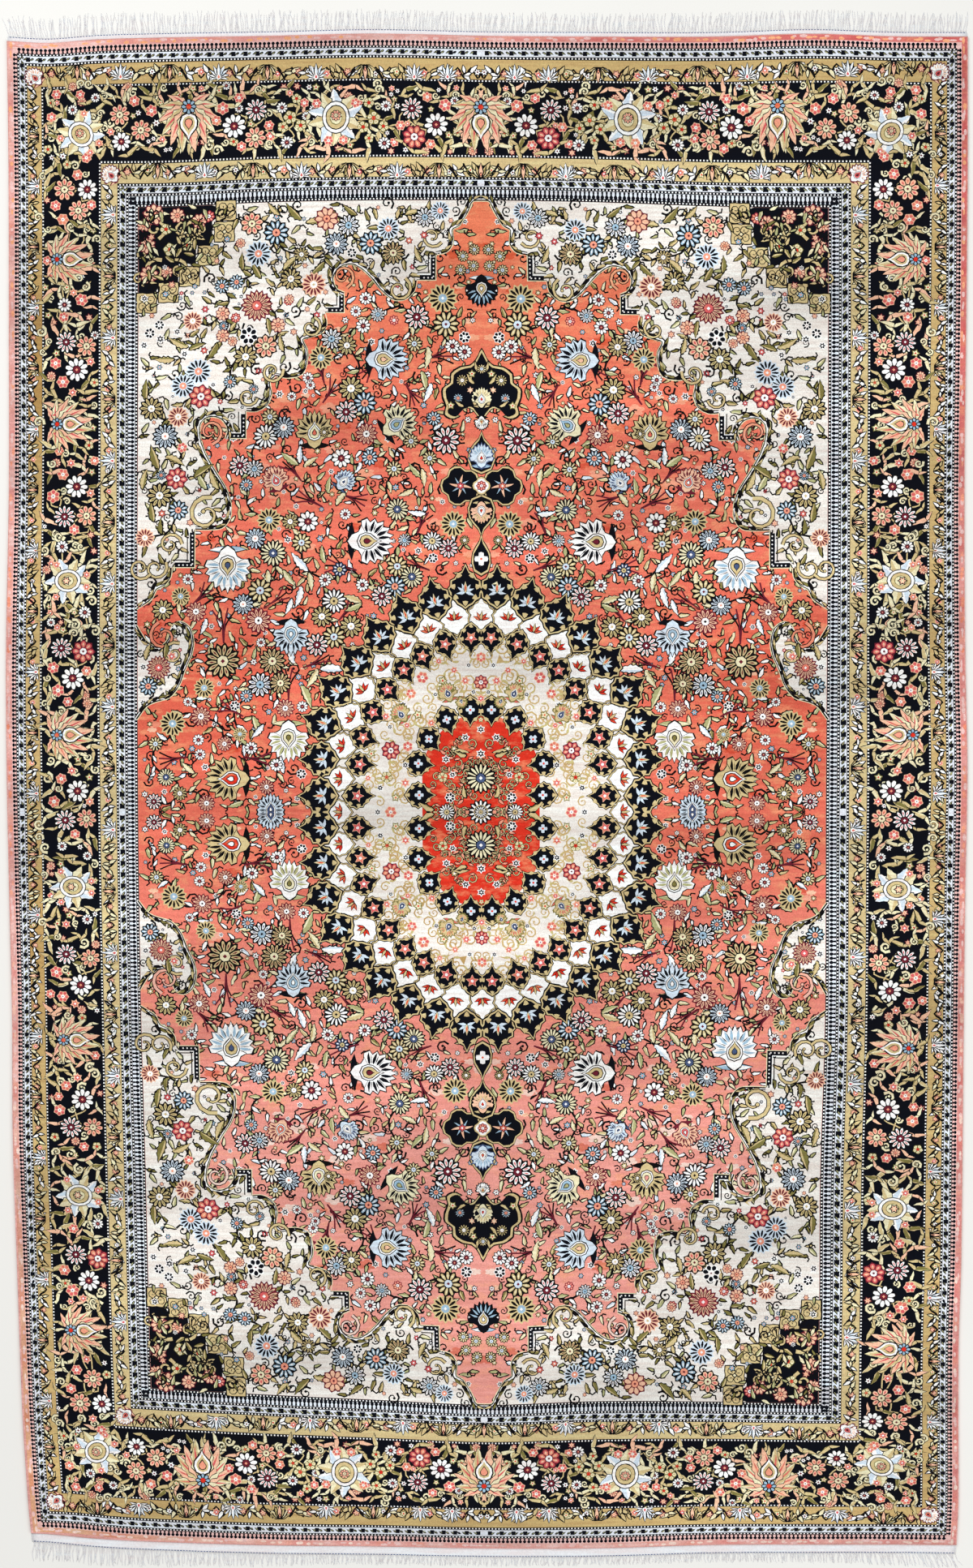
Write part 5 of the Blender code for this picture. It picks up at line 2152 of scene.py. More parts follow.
@dataclass
class Pendants:
    """The motifs above and below the medallion on the rug's long axis."""

    def draw(self, pattern: Pattern) -> None:
        """Draw the chain from the field's end to the medallion.

        Args:
            pattern: the drawing.
        """
        both, four = Copies.ENDS, Copies.QUARTERS
        for px, py in ((571, 313), (585, 305), (584, 325), (568, 330)):
            pattern.flower(pattern.at(px, py), 7, Bloom.GOLD_SKY, four)
        top = pattern.on_axis(355)
        pattern.palmette(top, 18, 180, both, Yarn.NAVY, Yarn.SKY, Yarn.GOLD, Yarn.INK, Yarn.WHITE)
        self.cartouche(pattern)
        self.cross(pattern)
        bud = pattern.on_axis(518)
        pattern.palmette(bud, 8, 180, both, Yarn.WHITE, Yarn.NAVY, Yarn.GOLD, Yarn.INK, Yarn.RED)
        oval = pattern.on_axis(686)
        shape = ogee_shape(26, 40)
        pattern.nested(oval, 1, shape, ((1.0, Yarn.INK), (0.92, Yarn.GOLD), (0.8, Yarn.NAVY)), both)
        pattern.lay(oval + 8.5 * lobed_shape(4, 0.45), Yarn.WHITE, both)
        pattern.lay(oval + 1.6 * round_shape(5), Yarn.RED, both)

    def half_shape(self, pattern: Pattern, pairs: list[tuple[float, float]]) -> Points:
        """A shape that is closed by its own mirror image across the axis.

        Args:
            pattern: the drawing.
            pairs: half of the outline, in the picture.

        Returns:
            The whole outline in the plan.
        """
        side = smooth_path(pattern.all_at(pairs), 3)
        side = np.array([complex(min(p.real, 0.0), p.imag) for p in side])
        side[0] = complex(0, side[0].imag)
        side[-1] = complex(0, side[-1].imag)
        whole = np.concatenate([side, -side.conj()[::-1][1:-1]])
        return Field.anticlockwise(whole)

    def cartouche(self, pattern: Pattern) -> None:
        """The navy trefoil with a gold rim and flowers on gold stems.

        Args:
            pattern: the drawing.
        """
        both, four = Copies.ENDS, Copies.QUARTERS
        edge = [
            (593, 428), (588, 440), (580, 448), (568, 450), (557, 458), (556, 469), (547, 476),
            (547, 488), (551, 498),
            (549, 508), (560, 513), (570, 503), (580, 500), (588, 508), (593, 517),
        ]
        whole = self.half_shape(pattern, edge)
        middle = complex(0, float(np.mean(whole.imag)))
        rims = ((1.05, Yarn.INK), (1.0, Yarn.GOLD), (0.93, Yarn.INK), (0.9, Yarn.NAVY))
        pattern.nested(middle, 1, whole - middle, rims, both)
        for px, py, radius, bloom in (
            (570, 466, 7, Bloom.GOLD), (565, 488, 6, Bloom.SKY), (580, 478, 5, Bloom.SALMON),
            (582, 458, 4.5, Bloom.YELLOW), (556, 497, 4.5, Bloom.YELLOW),
        ):
            pattern.flower(pattern.at(px, py), radius, bloom, four)
        leaves = ((588, 500, 16, 30), (585, 470, 14, 60), (572, 498, 12, 80), (590, 455, 12, 40))
        for px, py, size, turn in leaves:
            pattern.leaf(pattern.at(px, py), size, turn, Yarn.GOLD, four, 0.34, 0.4, 3)
        heart = pattern.on_axis(488)
        pattern.palmette(heart, 12, 0, both, Yarn.STRAW, Yarn.GOLD, Yarn.WHITE, Yarn.NAVY, Yarn.RED, 7)
        pattern.flower(pattern.on_axis(452), 6, Bloom.GOLD_SKY, both)

    def cross(self, pattern: Pattern) -> None:
        """The navy cross of four lobed cells around a pale middle.

        Args:
            pattern: the drawing.
        """
        both, four = Copies.ENDS, Copies.QUARTERS
        left = pattern.at(568, 596)
        for size, yarn in ((26, Yarn.INK), (25, Yarn.GOLD), (23, Yarn.INK), (22, Yarn.NAVY)):
            pattern.lay(left + size * lobed_shape(5, 0.2) * turned(90), yarn, four)
        for turn in (0, 90, 180, 270):
            pattern.leaf(left, 12, turn + 45, Yarn.SKY, four, 0.2, 0.2, 0, Yarn.NAVY, 0.3)
            pattern.leaf(left, 14, turn, Yarn.PEACH, four, 0.24, 0.2, 0, Yarn.NAVY, 0.3)
        pattern.flower(left, 5, Bloom.ROSE, four)
        top = pattern.on_axis(560)
        bottom = pattern.on_axis(628)
        for size, yarn in ((1.06, Yarn.INK), (1.0, Yarn.GOLD), (0.9, Yarn.NAVY)):
            pattern.lay(top + size * ogee_shape(34, 38), yarn, both)
            pattern.lay(bottom - size * ogee_shape(34, 38).conj() * -1, yarn, both)
        pattern.palmette(top, 14, 0, both, Yarn.ICE, Yarn.SKY, Yarn.WHITE, Yarn.SLATE, Yarn.RED, 7)
        pattern.palmette(bottom, 13, 180, both, Yarn.PEACH, Yarn.GOLD, Yarn.WHITE, Yarn.INK, Yarn.RED, 7)
        middle = pattern.on_axis(596)
        rims = ((12, Yarn.INK), (11, Yarn.GOLD), (9, Yarn.WHITE))
        pattern.nested(middle, 1, lobed_shape(4, 0.2), rims, both)
        pattern.flower(middle, 6, Bloom.ROSE, both)


def build_pattern(shape: RugShape) -> Pattern:
    """Draw the whole rug in order, ground first.

    Args:
        shape: the rug's plan and its real outline.

    Returns:
        The drawing.
    """
    pattern = Pattern(shape)
    borders = Borders()
    borders.draw(pattern)
    Guards().draw(pattern)
    MainBorder().draw(pattern)
    Field().draw(pattern)
    Pendants().draw(pattern)
    Medallion().draw(pattern)
    return pattern


def raised(bm: bmesh.types.BMesh, faces: list[bmesh.types.BMFace], height: float) -> list[bmesh.types.BMFace]:
    """Pull flat faces straight up into a closed slab.

    Args:
        bm: the mesh they belong to.
        faces: the faces on the floor, which stay as the underside.
        height: the slab's thickness.

    Returns:
        The slab's upper faces.
    """
    grown = bmesh.ops.extrude_face_region(bm, geom=faces)["geom"]
    verts = [item for item in grown if isinstance(item, bmesh.types.BMVert)]
    bmesh.ops.translate(bm, verts=verts, vec=(0, 0, height))
    return [item for item in grown if isinstance(item, bmesh.types.BMFace)]


def finished(
    bm: bmesh.types.BMesh, name: str, material: bpy.types.Material, smooth: bool = False
) -> bpy.types.Object:
    """Turn a bmesh into a named piece at the origin, with its material.

    Args:
        bm: the mesh, which is freed.
        name: the piece's name.
        material: its only material.
        smooth: whether its faces are shaded smooth.

    Returns:
        The piece.
    """
    bmesh.ops.recalc_face_normals(bm, faces=bm.faces)
    mesh = bpy.data.meshes.new(name)
    bm.to_mesh(mesh)
    bm.free()
    mesh.materials.append(material)
    if smooth:
        mesh.shade_smooth()
    obj = bpy.data.objects.new(name, mesh)
    bpy.context.scene.collection.objects.link(obj)
    return obj


def topmost(origins: list[list[int]], centers: np.ndarray, outlines: list[Points]) -> np.ndarray:
    """The topmost outline over each triangle, without those that only seem to reach it.

    Args:
        origins: the outlines that the cutter found over each triangle.
        centers: the triangles' middles.
        outlines: the outlines themselves.

    Returns:
        The number of the topmost outline of each triangle, or -1.
    """
    tops = np.array([max(origin) if origin else -1 for origin in origins])
    low = np.array([(outline.real.min(), outline.imag.min()) for outline in outlines])
    high = np.array([(outline.real.max(), outline.imag.max()) for outline in outlines])
    while True:
        astray = (tops >= 0) & ((centers < low[tops]) | (centers > high[tops])).any(axis=1)
        if not astray.any():
            return tops
        for number in np.unique(tops[astray]):
            rows = np.flatnonzero(tops == number)
            places = centers[rows, 0] + 1j * centers[rows, 1]
            for row in rows[~inside(places, outlines[number])]:
                tops[row] = max((found for found in origins[row] if found < number), default=-1)


class FlatMap(NamedTuple):
    """A flat patchwork: points, triangles and the patch key of each triangle."""

    points: np.ndarray
    triangles: np.ndarray
    keys: np.ndarray


def sides_of(triangles: np.ndarray) -> tuple[np.ndarray, np.ndarray]:
    """Every triangle's three directed sides, one row each, and the triangle of each row."""
    sides = np.concatenate([triangles[:, [0, 1]], triangles[:, [1, 2]], triangles[:, [2, 0]]])
    return sides, np.tile(np.arange(len(triangles)), 3)


def looked_up(codes: np.ndarray, values: np.ndarray, wanted: np.ndarray) -> np.ndarray:
    """The value that stands with each wanted code, or -1 where it isn't there.

    Args:
        codes: the known codes, in order.
        values: the value of each.
        wanted: the codes to look up.

    Returns:
        One value for each wanted code.
    """
    order = np.argsort(codes)
    codes, values = codes[order], values[order]
    spots = np.clip(np.searchsorted(codes, wanted), 0, len(codes) - 1)
    return np.where(codes[spots] == wanted, values[spots], -1)


def seams_of(patchwork: FlatMap) -> np.ndarray:
    """The sides between patches, as rows of start, end, left key and right key.

    Args:
        patchwork: the triangulated patches.

    Returns:
        The rows.
    """
    sides, owners = sides_of(patchwork.triangles)
    span = len(patchwork.points)
    codes = sides[:, 0].astype(np.int64) * span + sides[:, 1]
    back = sides[:, 1].astype(np.int64) * span + sides[:, 0]
    left = patchwork.keys[owners]
    right = looked_up(codes, left, back)
    kept = (left != right) & ((sides[:, 0] < sides[:, 1]) | (right < 0))
    return np.column_stack([sides, left, right])[kept]


def straightened(
    points: np.ndarray, seams: np.ndarray, slack: float, longest: float, rounds: int = 10
) -> np.ndarray:
    """Drop points that lie along a nearly straight seam between the same two patches.

    Args:
        points: the places of the points.
        seams: rows of start, end, left key and right key.
        slack: how far a dropped point may lie off the straight line.
        longest: the longest side that may come of it.
        rounds: how many times to thin the seams out.

    Returns:
        The thinner seams, in the same form.
    """
    dice = np.random.default_rng(4)
    for _ in range(rounds):
        ends = np.concatenate([seams[:, 0], seams[:, 1]])
        rows = np.tile(np.arange(len(seams)), 2)
        order = np.argsort(ends, kind="stable")
        ends, rows = ends[order], rows[order]
        first = np.searchsorted(ends, ends, side="left")
        count = np.searchsorted(ends, ends, side="right") - first
        heads = np.flatnonzero((count == 2) & (first == np.arange(len(ends))))
        middle, one, two = ends[heads], rows[heads], rows[heads + 1]
        before = np.where(seams[one, 0] == middle, seams[one, 1], seams[one, 0])
        after = np.where(seams[two, 0] == middle, seams[two, 1], seams[two, 0])
        line = points[after] - points[before]
        offset = points[middle] - points[before]
        length = np.maximum(np.hypot(line[:, 0], line[:, 1]), 1e-9)
        off = np.abs(line[:, 0] * offset[:, 1] - line[:, 1] * offset[:, 0]) / length
        along = (offset * line).sum(axis=1) / length
        rank = np.full(len(points), np.inf)
        rank[middle] = dice.random(len(middle))
        chosen = (off < slack) & (along > 0) & (along < length) & (length < longest) & (before != after)
        chosen &= (rank[middle] < rank[before]) & (rank[middle] < rank[after])
        one, two, middle = one[chosen], two[chosen], middle[chosen]
        forward = seams[one, 1] == middle
        merged = seams[one].copy()
        merged[:, 0] = np.where(forward, seams[one, 0], after[chosen])
        merged[:, 1] = np.where(forward, after[chosen], seams[one, 1])
        rest = np.ones(len(seams), bool)
        rest[one] = False
        rest[two] = False
        seams = np.concatenate([seams[rest], merged])
    return seams


def patched(points: np.ndarray, seams: np.ndarray, nearness: float) -> FlatMap:
    """Triangulate the patches between seams, and find each triangle's patch again.

    Args:
        points: the seams' ends.
        seams: the sides between patches.
        nearness: how near two points may be.

    Returns:
        The triangulated patches.
    """
    used, ends = np.unique(seams[:, :2], return_inverse=True)
    ends = ends.reshape(-1, 2)
    verts = [Vector(row) for row in points[used].tolist()]
    made, _, faces, origins, _, _ = delaunay_2d_cdt(verts, ends.tolist(), [], 0, nearness, True)
    place = np.full(len(used), -1)
    for new, olds in enumerate(origins):
        for old in olds:
            if old < len(place):
                place[old] = new
    ends = place[ends]
    triangles = np.array(faces)
    span = len(made)
    codes = np.concatenate([ends[:, 0] * span + ends[:, 1], ends[:, 1] * span + ends[:, 0]]).astype(np.int64)
    values = np.concatenate([seams[:, 2], seams[:, 3]])
    sides, owners = sides_of(triangles)
    side_codes = sides[:, 0].astype(np.int64) * span + sides[:, 1]
    found = looked_up(codes, np.where(values < 0, -2, values), side_codes)
    keys = np.full(len(triangles), -1)
    np.maximum.at(keys, owners, found)
    outside = np.zeros(len(triangles), bool)
    outside[owners[found == -2]] = True
    keys[outside & (keys < 0)] = -2
    back = sides[:, 1].astype(np.int64) * span + sides[:, 0]
    neighbors = looked_up(side_codes, owners, back)
    free = (found == -1) & (neighbors >= 0)
    owners, neighbors = owners[free], neighbors[free]
    while True:
        open_rows = (keys[owners] == -1) & (keys[neighbors] != -1)
        if not open_rows.any():
            break
        keys[owners[open_rows]] = keys[neighbors[open_rows]]
    kept = keys >= 0
    return FlatMap(np.array([(vert.x, vert.y) for vert in made]), triangles[kept], keys[kept])


@dataclass(frozen=True)
class DyeLots:
    """How each yarn's dye drifts over the rug, as it does from skein to skein."""

    depth: float = 0.07

    def colors(self, keys: np.ndarray, places: Points) -> np.ndarray:
        """The linear colour of each yarn at each place.

        Args:
            keys: the number of the yarn at each place.
            places: the places on the rug, in mm.

        Returns:
            One row of red, green and blue for each place.
        """
        yarns = list(Yarn)
        base = np.array([linear(yarn.value) for yarn in yarns])[keys]
        x, y = places.real, places.imag
        drift = np.sin(y / 41 + 0.9 * np.sin(x / 190)) + np.sin(y / 17.3 + x / 260 + 1.3)
        drift = drift + np.sin(x / 83 - y / 97)
        color = base * (1 + self.depth * drift[:, None])
        corals = np.isin(keys, [yarns.index(yarn) for yarn in (Yarn.CORAL, Yarn.CORAL_DEEP, Yarn.CORAL_PALE)])
        edge = keys == yarns.index(Yarn.CORAL_EDGE)
        bronze = keys == yarns.index(Yarn.BRONZE)
        low = np.clip((-y - 80) / 420, 0, 1)
        high = np.clip((y - 470) / 330, 0, 1)
        sides = np.exp(-(((y - 140) / 150) ** 2)) * np.clip((np.abs(x) - 190) / 160, 0, 1)
        shift = np.ones((len(keys), 3))
        shift += low[:, None] * (0.0, 0.85, 1.35)
        shift += high[:, None] * (0.0, 0.16, -0.12)
        shift -= sides[:, None] * (0.1, 0.3, 0.36)
        color = np.where(corals[:, None], color * shift, color)
        deep = np.clip((x + 100) / 500, 0, 1) * np.clip((y - 300) / 500, 0, 1)
        deep = deep + 0.5 * np.clip((x - 500) / 150, 0, 1)
        brown = np.clip((-y - 350) / 500, 0, 1) * np.clip((-x - 300) / 300, 0, 1)
        worn = 1 + 0.3 * np.sin(y / 9.1 + 3 * np.sin(x / 31)) * np.sin(y / 23.7 + x / 19)
        rim = 1 - np.clip(deep, 0, 1)[:, None] * (0.18, 0.62, 0.6) - brown[:, None] * (0.1, 0.1, 0.4)
        rim = rim * np.stack([1 + 0.2 * (worn - 1), worn, worn], axis=1)
        color = np.where(edge[:, None], color * rim, color)
        old = np.exp(-(((y - 580) / 160) ** 2)) + 0.7 * np.exp(-(((y + 220) / 130) ** 2))
        tan = 1 - (old * (x < 0))[:, None] * (0.24, 0.36, 0.5)
        color = np.where(bronze[:, None], color * tan, color)
        return np.clip(color, 0, 1)


@dataclass
class PilePanels:
    """The knotted surface: thin closed panels of coloured faces, edge to edge.

    The plan is cut into patches tile by tile. The tiles on the right are mirror images of those
    on the left, and the middle one at the bottom of the one at the top. The patches are bent to
    the rug's real outline last.
    """

    shape: RugShape
    column_line: float = 197.0
    row_line: float = 329.0
    reach: tuple[float, float] = (590.0, 961.0)
    depth: float = 0.35 * MM
    nearness: float = 1e-4
    slack: float = 0.38
    longest: float = 30.0

    def build(self, pattern: Pattern, material: bpy.types.Material) -> list[bpy.types.Object]:
        """Make one closed, thin block for each panel.

        Args:
            pattern: the drawing.
            material: its material.

        Returns:
            The panels.
        """
        yarns = list(Yarn)
        layer_keys = np.array([yarns.index(yarn) for _, yarn, _ in pattern.layers])
        outlines, owners = self.copies(pattern)
        panels = []
        rows = (-self.reach[1], -self.row_line, self.row_line, self.reach[1])
        upper = self.tile(outlines, owners, layer_keys, (-self.column_line, self.column_line, *rows[2:]))
        for row, (low, high) in enumerate(zip(rows, rows[1:])):
            outer = self.tile(outlines, owners, layer_keys, (-self.reach[0], -self.column_line, low, high))
            middle = upper
            if row == 0:
                middle = FlatMap(upper.points * (1, -1), upper.triangles[:, ::-1], upper.keys)
            elif row == 1:
                box = (-self.column_line, self.column_line, low, high)
                middle = self.tile(outlines, owners, layer_keys, box)
            for side, patchwork in (("left", outer), ("middle", middle), ("right", mirrored(outer))):
                panels.append(self.panel(f"pile_{side}_{row + 1}", patchwork, material))
        return panels

    def copies(self, pattern: Pattern) -> tuple[list[Points], np.ndarray]:
        """All copies of all shapes, anticlockwise, with the layer of each.

        Args:
            pattern: the drawing.

        Returns:
            The outlines, and each one's layer.
        """
        outlines: list[Points] = []
        owners: list[int] = []
        for number, (points, _, copies) in enumerate(pattern.layers):
            ahead = signed_area(points) > 0
            for across, along in copies.value:
                copy = points.real * across + 1j * points.imag * along
                outlines.append(copy if ahead == (across * along > 0) else copy[::-1])
                owners.append(number)
        LOG.info("pattern: %d shapes", len(outlines))
        return outlines, np.array(owners)

    def tile(
        self,
        outlines: list[Points],
        owners: np.ndarray,
        layer_keys: np.ndarray,
        box: tuple[float, float, float, float],
    ) -> FlatMap:
        """Cut the overlapping shapes within a box into patches that show the topmost layer.

        Args:
            outlines: every copy of every shape.
            owners: the layer of each outline.
            layer_keys: the colour key of each layer.
            box: its left, right, low and high lines.

        Returns:
            The box's patches, keyed by colour.
        """
        left, right, low, high = box
        near = [
            k
            for k, outline in enumerate(outlines)
            if outline.real.min() < right
            and outline.real.max() > left
            and outline.imag.min() < high
            and outline.imag.max() > low
        ]
        sizes = [len(outlines[k]) for k in near]
        starts = np.concatenate([[0], np.cumsum(sizes)]).tolist()
        faces = [list(range(start, end)) for start, end in zip(starts, starts[1:])]
        whole = np.concatenate([outlines[k] for k in near])
        verts = [Vector(pair) for pair in zip(whole.real.tolist(), whole.imag.tolist())]
        first = len(verts)
        verts += [Vector(pair) for pair in ((left, low), (right, low), (right, high), (left, high))]
        edges = [(first + k, first + (k + 1) % 4) for k in range(4)]
        made, _, out_faces, _, _, origins = delaunay_2d_cdt(verts, edges, faces, 1, self.nearness, True)
        points = np.array([(vert.x, vert.y) for vert in made])
        triangles = np.array(out_faces)
        centers = points[triangles].mean(axis=1)
        tops = topmost(origins, centers, [outlines[k] for k in near])
        kept = (tops >= 0) & (centers[:, 0] > left) & (centers[:, 0] < right)
        kept &= (centers[:, 1] > low) & (centers[:, 1] < high)
        keys = layer_keys[owners[near]][tops[kept]]
        layered = FlatMap(points, triangles[kept], keys)
        seams = straightened(points, seams_of(layered), self.slack, self.longest)
        patchwork = patched(points, seams, self.nearness)
        counts = (len(near), len(triangles), len(patchwork.triangles))
        LOG.info("tile of %d shapes: %d triangles, then %d", *counts)
        return patchwork

    def panel(self, name: str, patchwork: FlatMap, material: bpy.types.Material) -> bpy.types.Object:
        """Bend a panel's patches to the rug and give it colours, a flat map and an underside.

        Args:
            name: its name.
            patchwork: the triangulated patches.
            material: its material.

        Returns:
            The panel.
        """
        used, corners = np.unique(patchwork.triangles, return_inverse=True)
        corners = corners.reshape(-1)
        plan = patchwork.points[used]
        real = self.shape.bend(plan[:, 0] + 1j * plan[:, 1]) + self.shape.shift
        heights = np.full(len(real), self.shape.pile_height)
        mesh = bpy.data.meshes.new(name)
        verts = np.column_stack([real.real, real.imag, heights])
        mesh.from_pydata(verts.tolist(), [], corners.reshape(-1, 3).tolist())
        yarn = mesh.attributes.new("yarn_color", "FLOAT_COLOR", "CORNER")
        corner_colors = np.ones((len(corners), 4), np.float32)
        keys = np.repeat(patchwork.keys, 3)
        corner_colors[:, :3] = DyeLots().colors(keys, real[corners] / MM)
        yarn.data.foreach_set("color", corner_colors.ravel())
        bm = bmesh.new()
        bm.from_mesh(mesh)
        border = [edge for edge in bm.edges if edge.is_boundary]
        grown = bmesh.ops.extrude_edge_only(bm, edges=border)["geom"]
        verts = [item for item in grown if isinstance(item, bmesh.types.BMVert)]
        bmesh.ops.translate(bm, verts=verts, vec=(0, 0, -self.depth))
        lower = [item for item in grown if isinstance(item, bmesh.types.BMEdge)]
        bmesh.ops.edgeloop_fill(bm, edges=lower)
        bmesh.ops.recalc_face_normals(bm, faces=bm.faces)
        bm.to_mesh(mesh)
        bm.free()
        self.flat_map(mesh)
        mesh.materials.append(material)
        obj = bpy.data.objects.new(name, mesh)
        bpy.context.scene.collection.objects.link(obj)
        return obj

    @staticmethod
    def flat_map(mesh: bpy.types.Mesh) -> None:
        """Lay the panel's face flat in its map, and its rim and underside in one small corner.

        Args:
            mesh: the panel's mesh.
        """
        layer = mesh.uv_layers.new(name="OFBake")
        places = np.empty(len(mesh.vertices) * 3, np.float32)
        mesh.vertices.foreach_get("co", places)
        places = places.reshape(-1, 3)[:, :2]
        corner_points = np.empty(len(mesh.loops), np.int32)
        mesh.loops.foreach_get("vertex_index", corner_points)
        totals = np.empty(len(mesh.polygons), np.int32)
        mesh.polygons.foreach_get("loop_total", totals)
        normals = np.empty(len(mesh.polygons) * 3, np.float32)
        mesh.polygons.foreach_get("normal", normals)
        upper = np.repeat(normals.reshape(-1, 3)[:, 2] > 0.5, totals)
        low = places.min(axis=0)
        share = (places[corner_points] - low) / (places.max(axis=0) - low)
        place = np.where(upper[:, None], 0.012 + 0.98 * share, 0.001 + 0.008 * share)
        layer.data.foreach_set("uv", place.astype(np.float32).ravel())


def mirrored(patchwork: FlatMap) -> FlatMap:
    """The same patches on the other side of the long axis."""
    return FlatMap(patchwork.points * (-1, 1), patchwork.triangles[:, ::-1], patchwork.keys)


@dataclass
class RugBody:
    """The cloth under the coloured face: its ground, rounded rim and plain-woven ends."""

    shape: RugShape
    side_points: int = 160
    end_points: int = 110
    weave_samples: int = 120

    def corner(self, left: bool, top: bool) -> complex:
        """Where a long edge meets an end of the pile.

        Args:
            left: whether it is at the left edge.
            top: whether it is at the top end.

        Returns:
            The corner's place.
        """
        side = self.shape.left if left else self.shape.right
        end = self.shape.top if top else self.shape.bottom
        y = float(end(0))
        for _ in range(6):
            x = float(side(y))
            y = float(end(x))
        return complex(x, y)

    def outline(self) -> Points:
        """The pile's whole outline, anticlockwise from the bottom left corner.

        Returns:
            The outline.
        """
        shape = self.shape
        lower_left, lower_right = self.corner(True, False), self.corner(False, False)
        upper_right, upper_left = self.corner(False, True), self.corner(True, True)
        bottom_x = np.linspace(lower_left.real, lower_right.real, self.end_points)[:-1]
        right_y = np.linspace(lower_right.imag, upper_right.imag, self.side_points)[:-1]
        top_x = np.linspace(upper_right.real, upper_left.real, self.end_points)[:-1]
        left_y = np.linspace(upper_left.imag, lower_left.imag, self.side_points)[:-1]
        return np.concatenate(
            [
                bottom_x + 1j * shape.bottom(bottom_x),
                shape.right(right_y) + 1j * right_y,
                top_x + 1j * shape.top(top_x),
                shape.left(left_y) + 1j * left_y,
            ]
        )

    def build(self, material: bpy.types.Material) -> bpy.types.Object:
        """The pile's ground, with a rounded rim that the panels sit within.

        Args:
            material: its material.

        Returns:
            The piece.
        """
        bm = bmesh.new()
        verts = [bm.verts.new((p.real, p.imag, 0)) for p in self.outline() + self.shape.shift]
        top = raised(bm, [bm.faces.new(verts)], self.shape.pile_height - self.shape.rim)
        for step, rise in ((0.2, 0.55), (0.35, 0.4), (0.5, 0.18), (0.9, -0.05)):
            bmesh.ops.inset_region(bm, faces=top, thickness=step * MM, depth=0, use_even_offset=True)
            moved = {vert for face in top for vert in face.verts}
            bmesh.ops.translate(bm, verts=list(moved), vec=(0, 0, rise * MM))
        return finished(bm, "pile_ground", material)

    def woven_end(self, top: bool, material: bpy.types.Material) -> bpy.types.Object:
        """The plain-woven web beyond the pile at one end.

        Args:
            top: whether it is the rug's top end.
            material: its material.

        Returns:
            The piece.
        """
        shape = self.shape
        width = shape.top_weave if top else shape.bottom_weave
        sign = 1 if top else -1
        start, stop = self.corner(True, top).real, self.corner(False, top).real
        bm = bmesh.new()
        bmesh.ops.create_grid(bm, x_segments=self.weave_samples, y_segments=5, size=0.5)
        for vert in bm.verts:
            out = vert.co.y + 0.5
            inset = shape.draw_in * out
            x = start + inset + (stop - start - 2 * inset) * (vert.co.x + 0.5)
            line = float((shape.top if top else shape.bottom)(x))
            sag = 0.25 * MM * math.sin(x * 61) * out
            vert.co.x = x + shape.shift.real
            vert.co.y = line + sign * (out * width - 1.5 * MM * (1 - out)) + shape.shift.imag + sag * sign
        upper = raised(bm, list(bm.faces), shape.weave_height)
        for vert in {vert for face in upper for vert in face.verts}:
            vert.co.z += 0.12 * MM * math.sin(vert.co.x * 900)
        return finished(bm, "woven_end_top" if top else "woven_end_bottom", material, True)

    def stitches(self, top: bool, material: bpy.types.Material) -> bpy.types.Object:
        """A row of short blue stitches along the web's outer edge.

        Args:
            top: whether it is the rug's top end.
            material: its material.

        Returns:
            The piece.
        """
        shape = self.shape
        width = shape.top_weave if top else shape.bottom_weave
        sign = 1 if top else -1
        line = shape.top if top else shape.bottom
        start, stop = self.corner(True, top).real + 3 * MM, self.corner(False, top).real - 3 * MM
        bm = bmesh.new()
        count = int((stop - start) / (4.05 * MM))
        for k in range(count):
            x = start + (stop - start) * (k + 0.5) / count
            y = float(line(x)) + sign * (width - 0.9 * MM)
            dash = bmesh.ops.create_cube(bm, size=1.0)["verts"]
            bmesh.ops.scale(bm, verts=dash, vec=(2.3 * MM, 0.8 * MM, 0.5 * MM))
            place = (x + shape.shift.real, y + shape.shift.imag, shape.weave_height + 0.2 * MM)
            bmesh.ops.translate(bm, verts=dash, vec=place)
        return finished(bm, "stitches_top" if top else "stitches_bottom", material)


# Each fringe's length and lean along the end: place in mm, length in mm, lean in degrees
TOP_FRINGE = ((-667, -600, 0, 667), (30, 32, 27, 28), (-14, -3, 2, 4))
BOTTOM_FRINGE = ((-667, -480, -200, 200, 520, 667), (27, 25, 15, 13, 16, 27), (-6, 2, -2, 0, 8, 32))


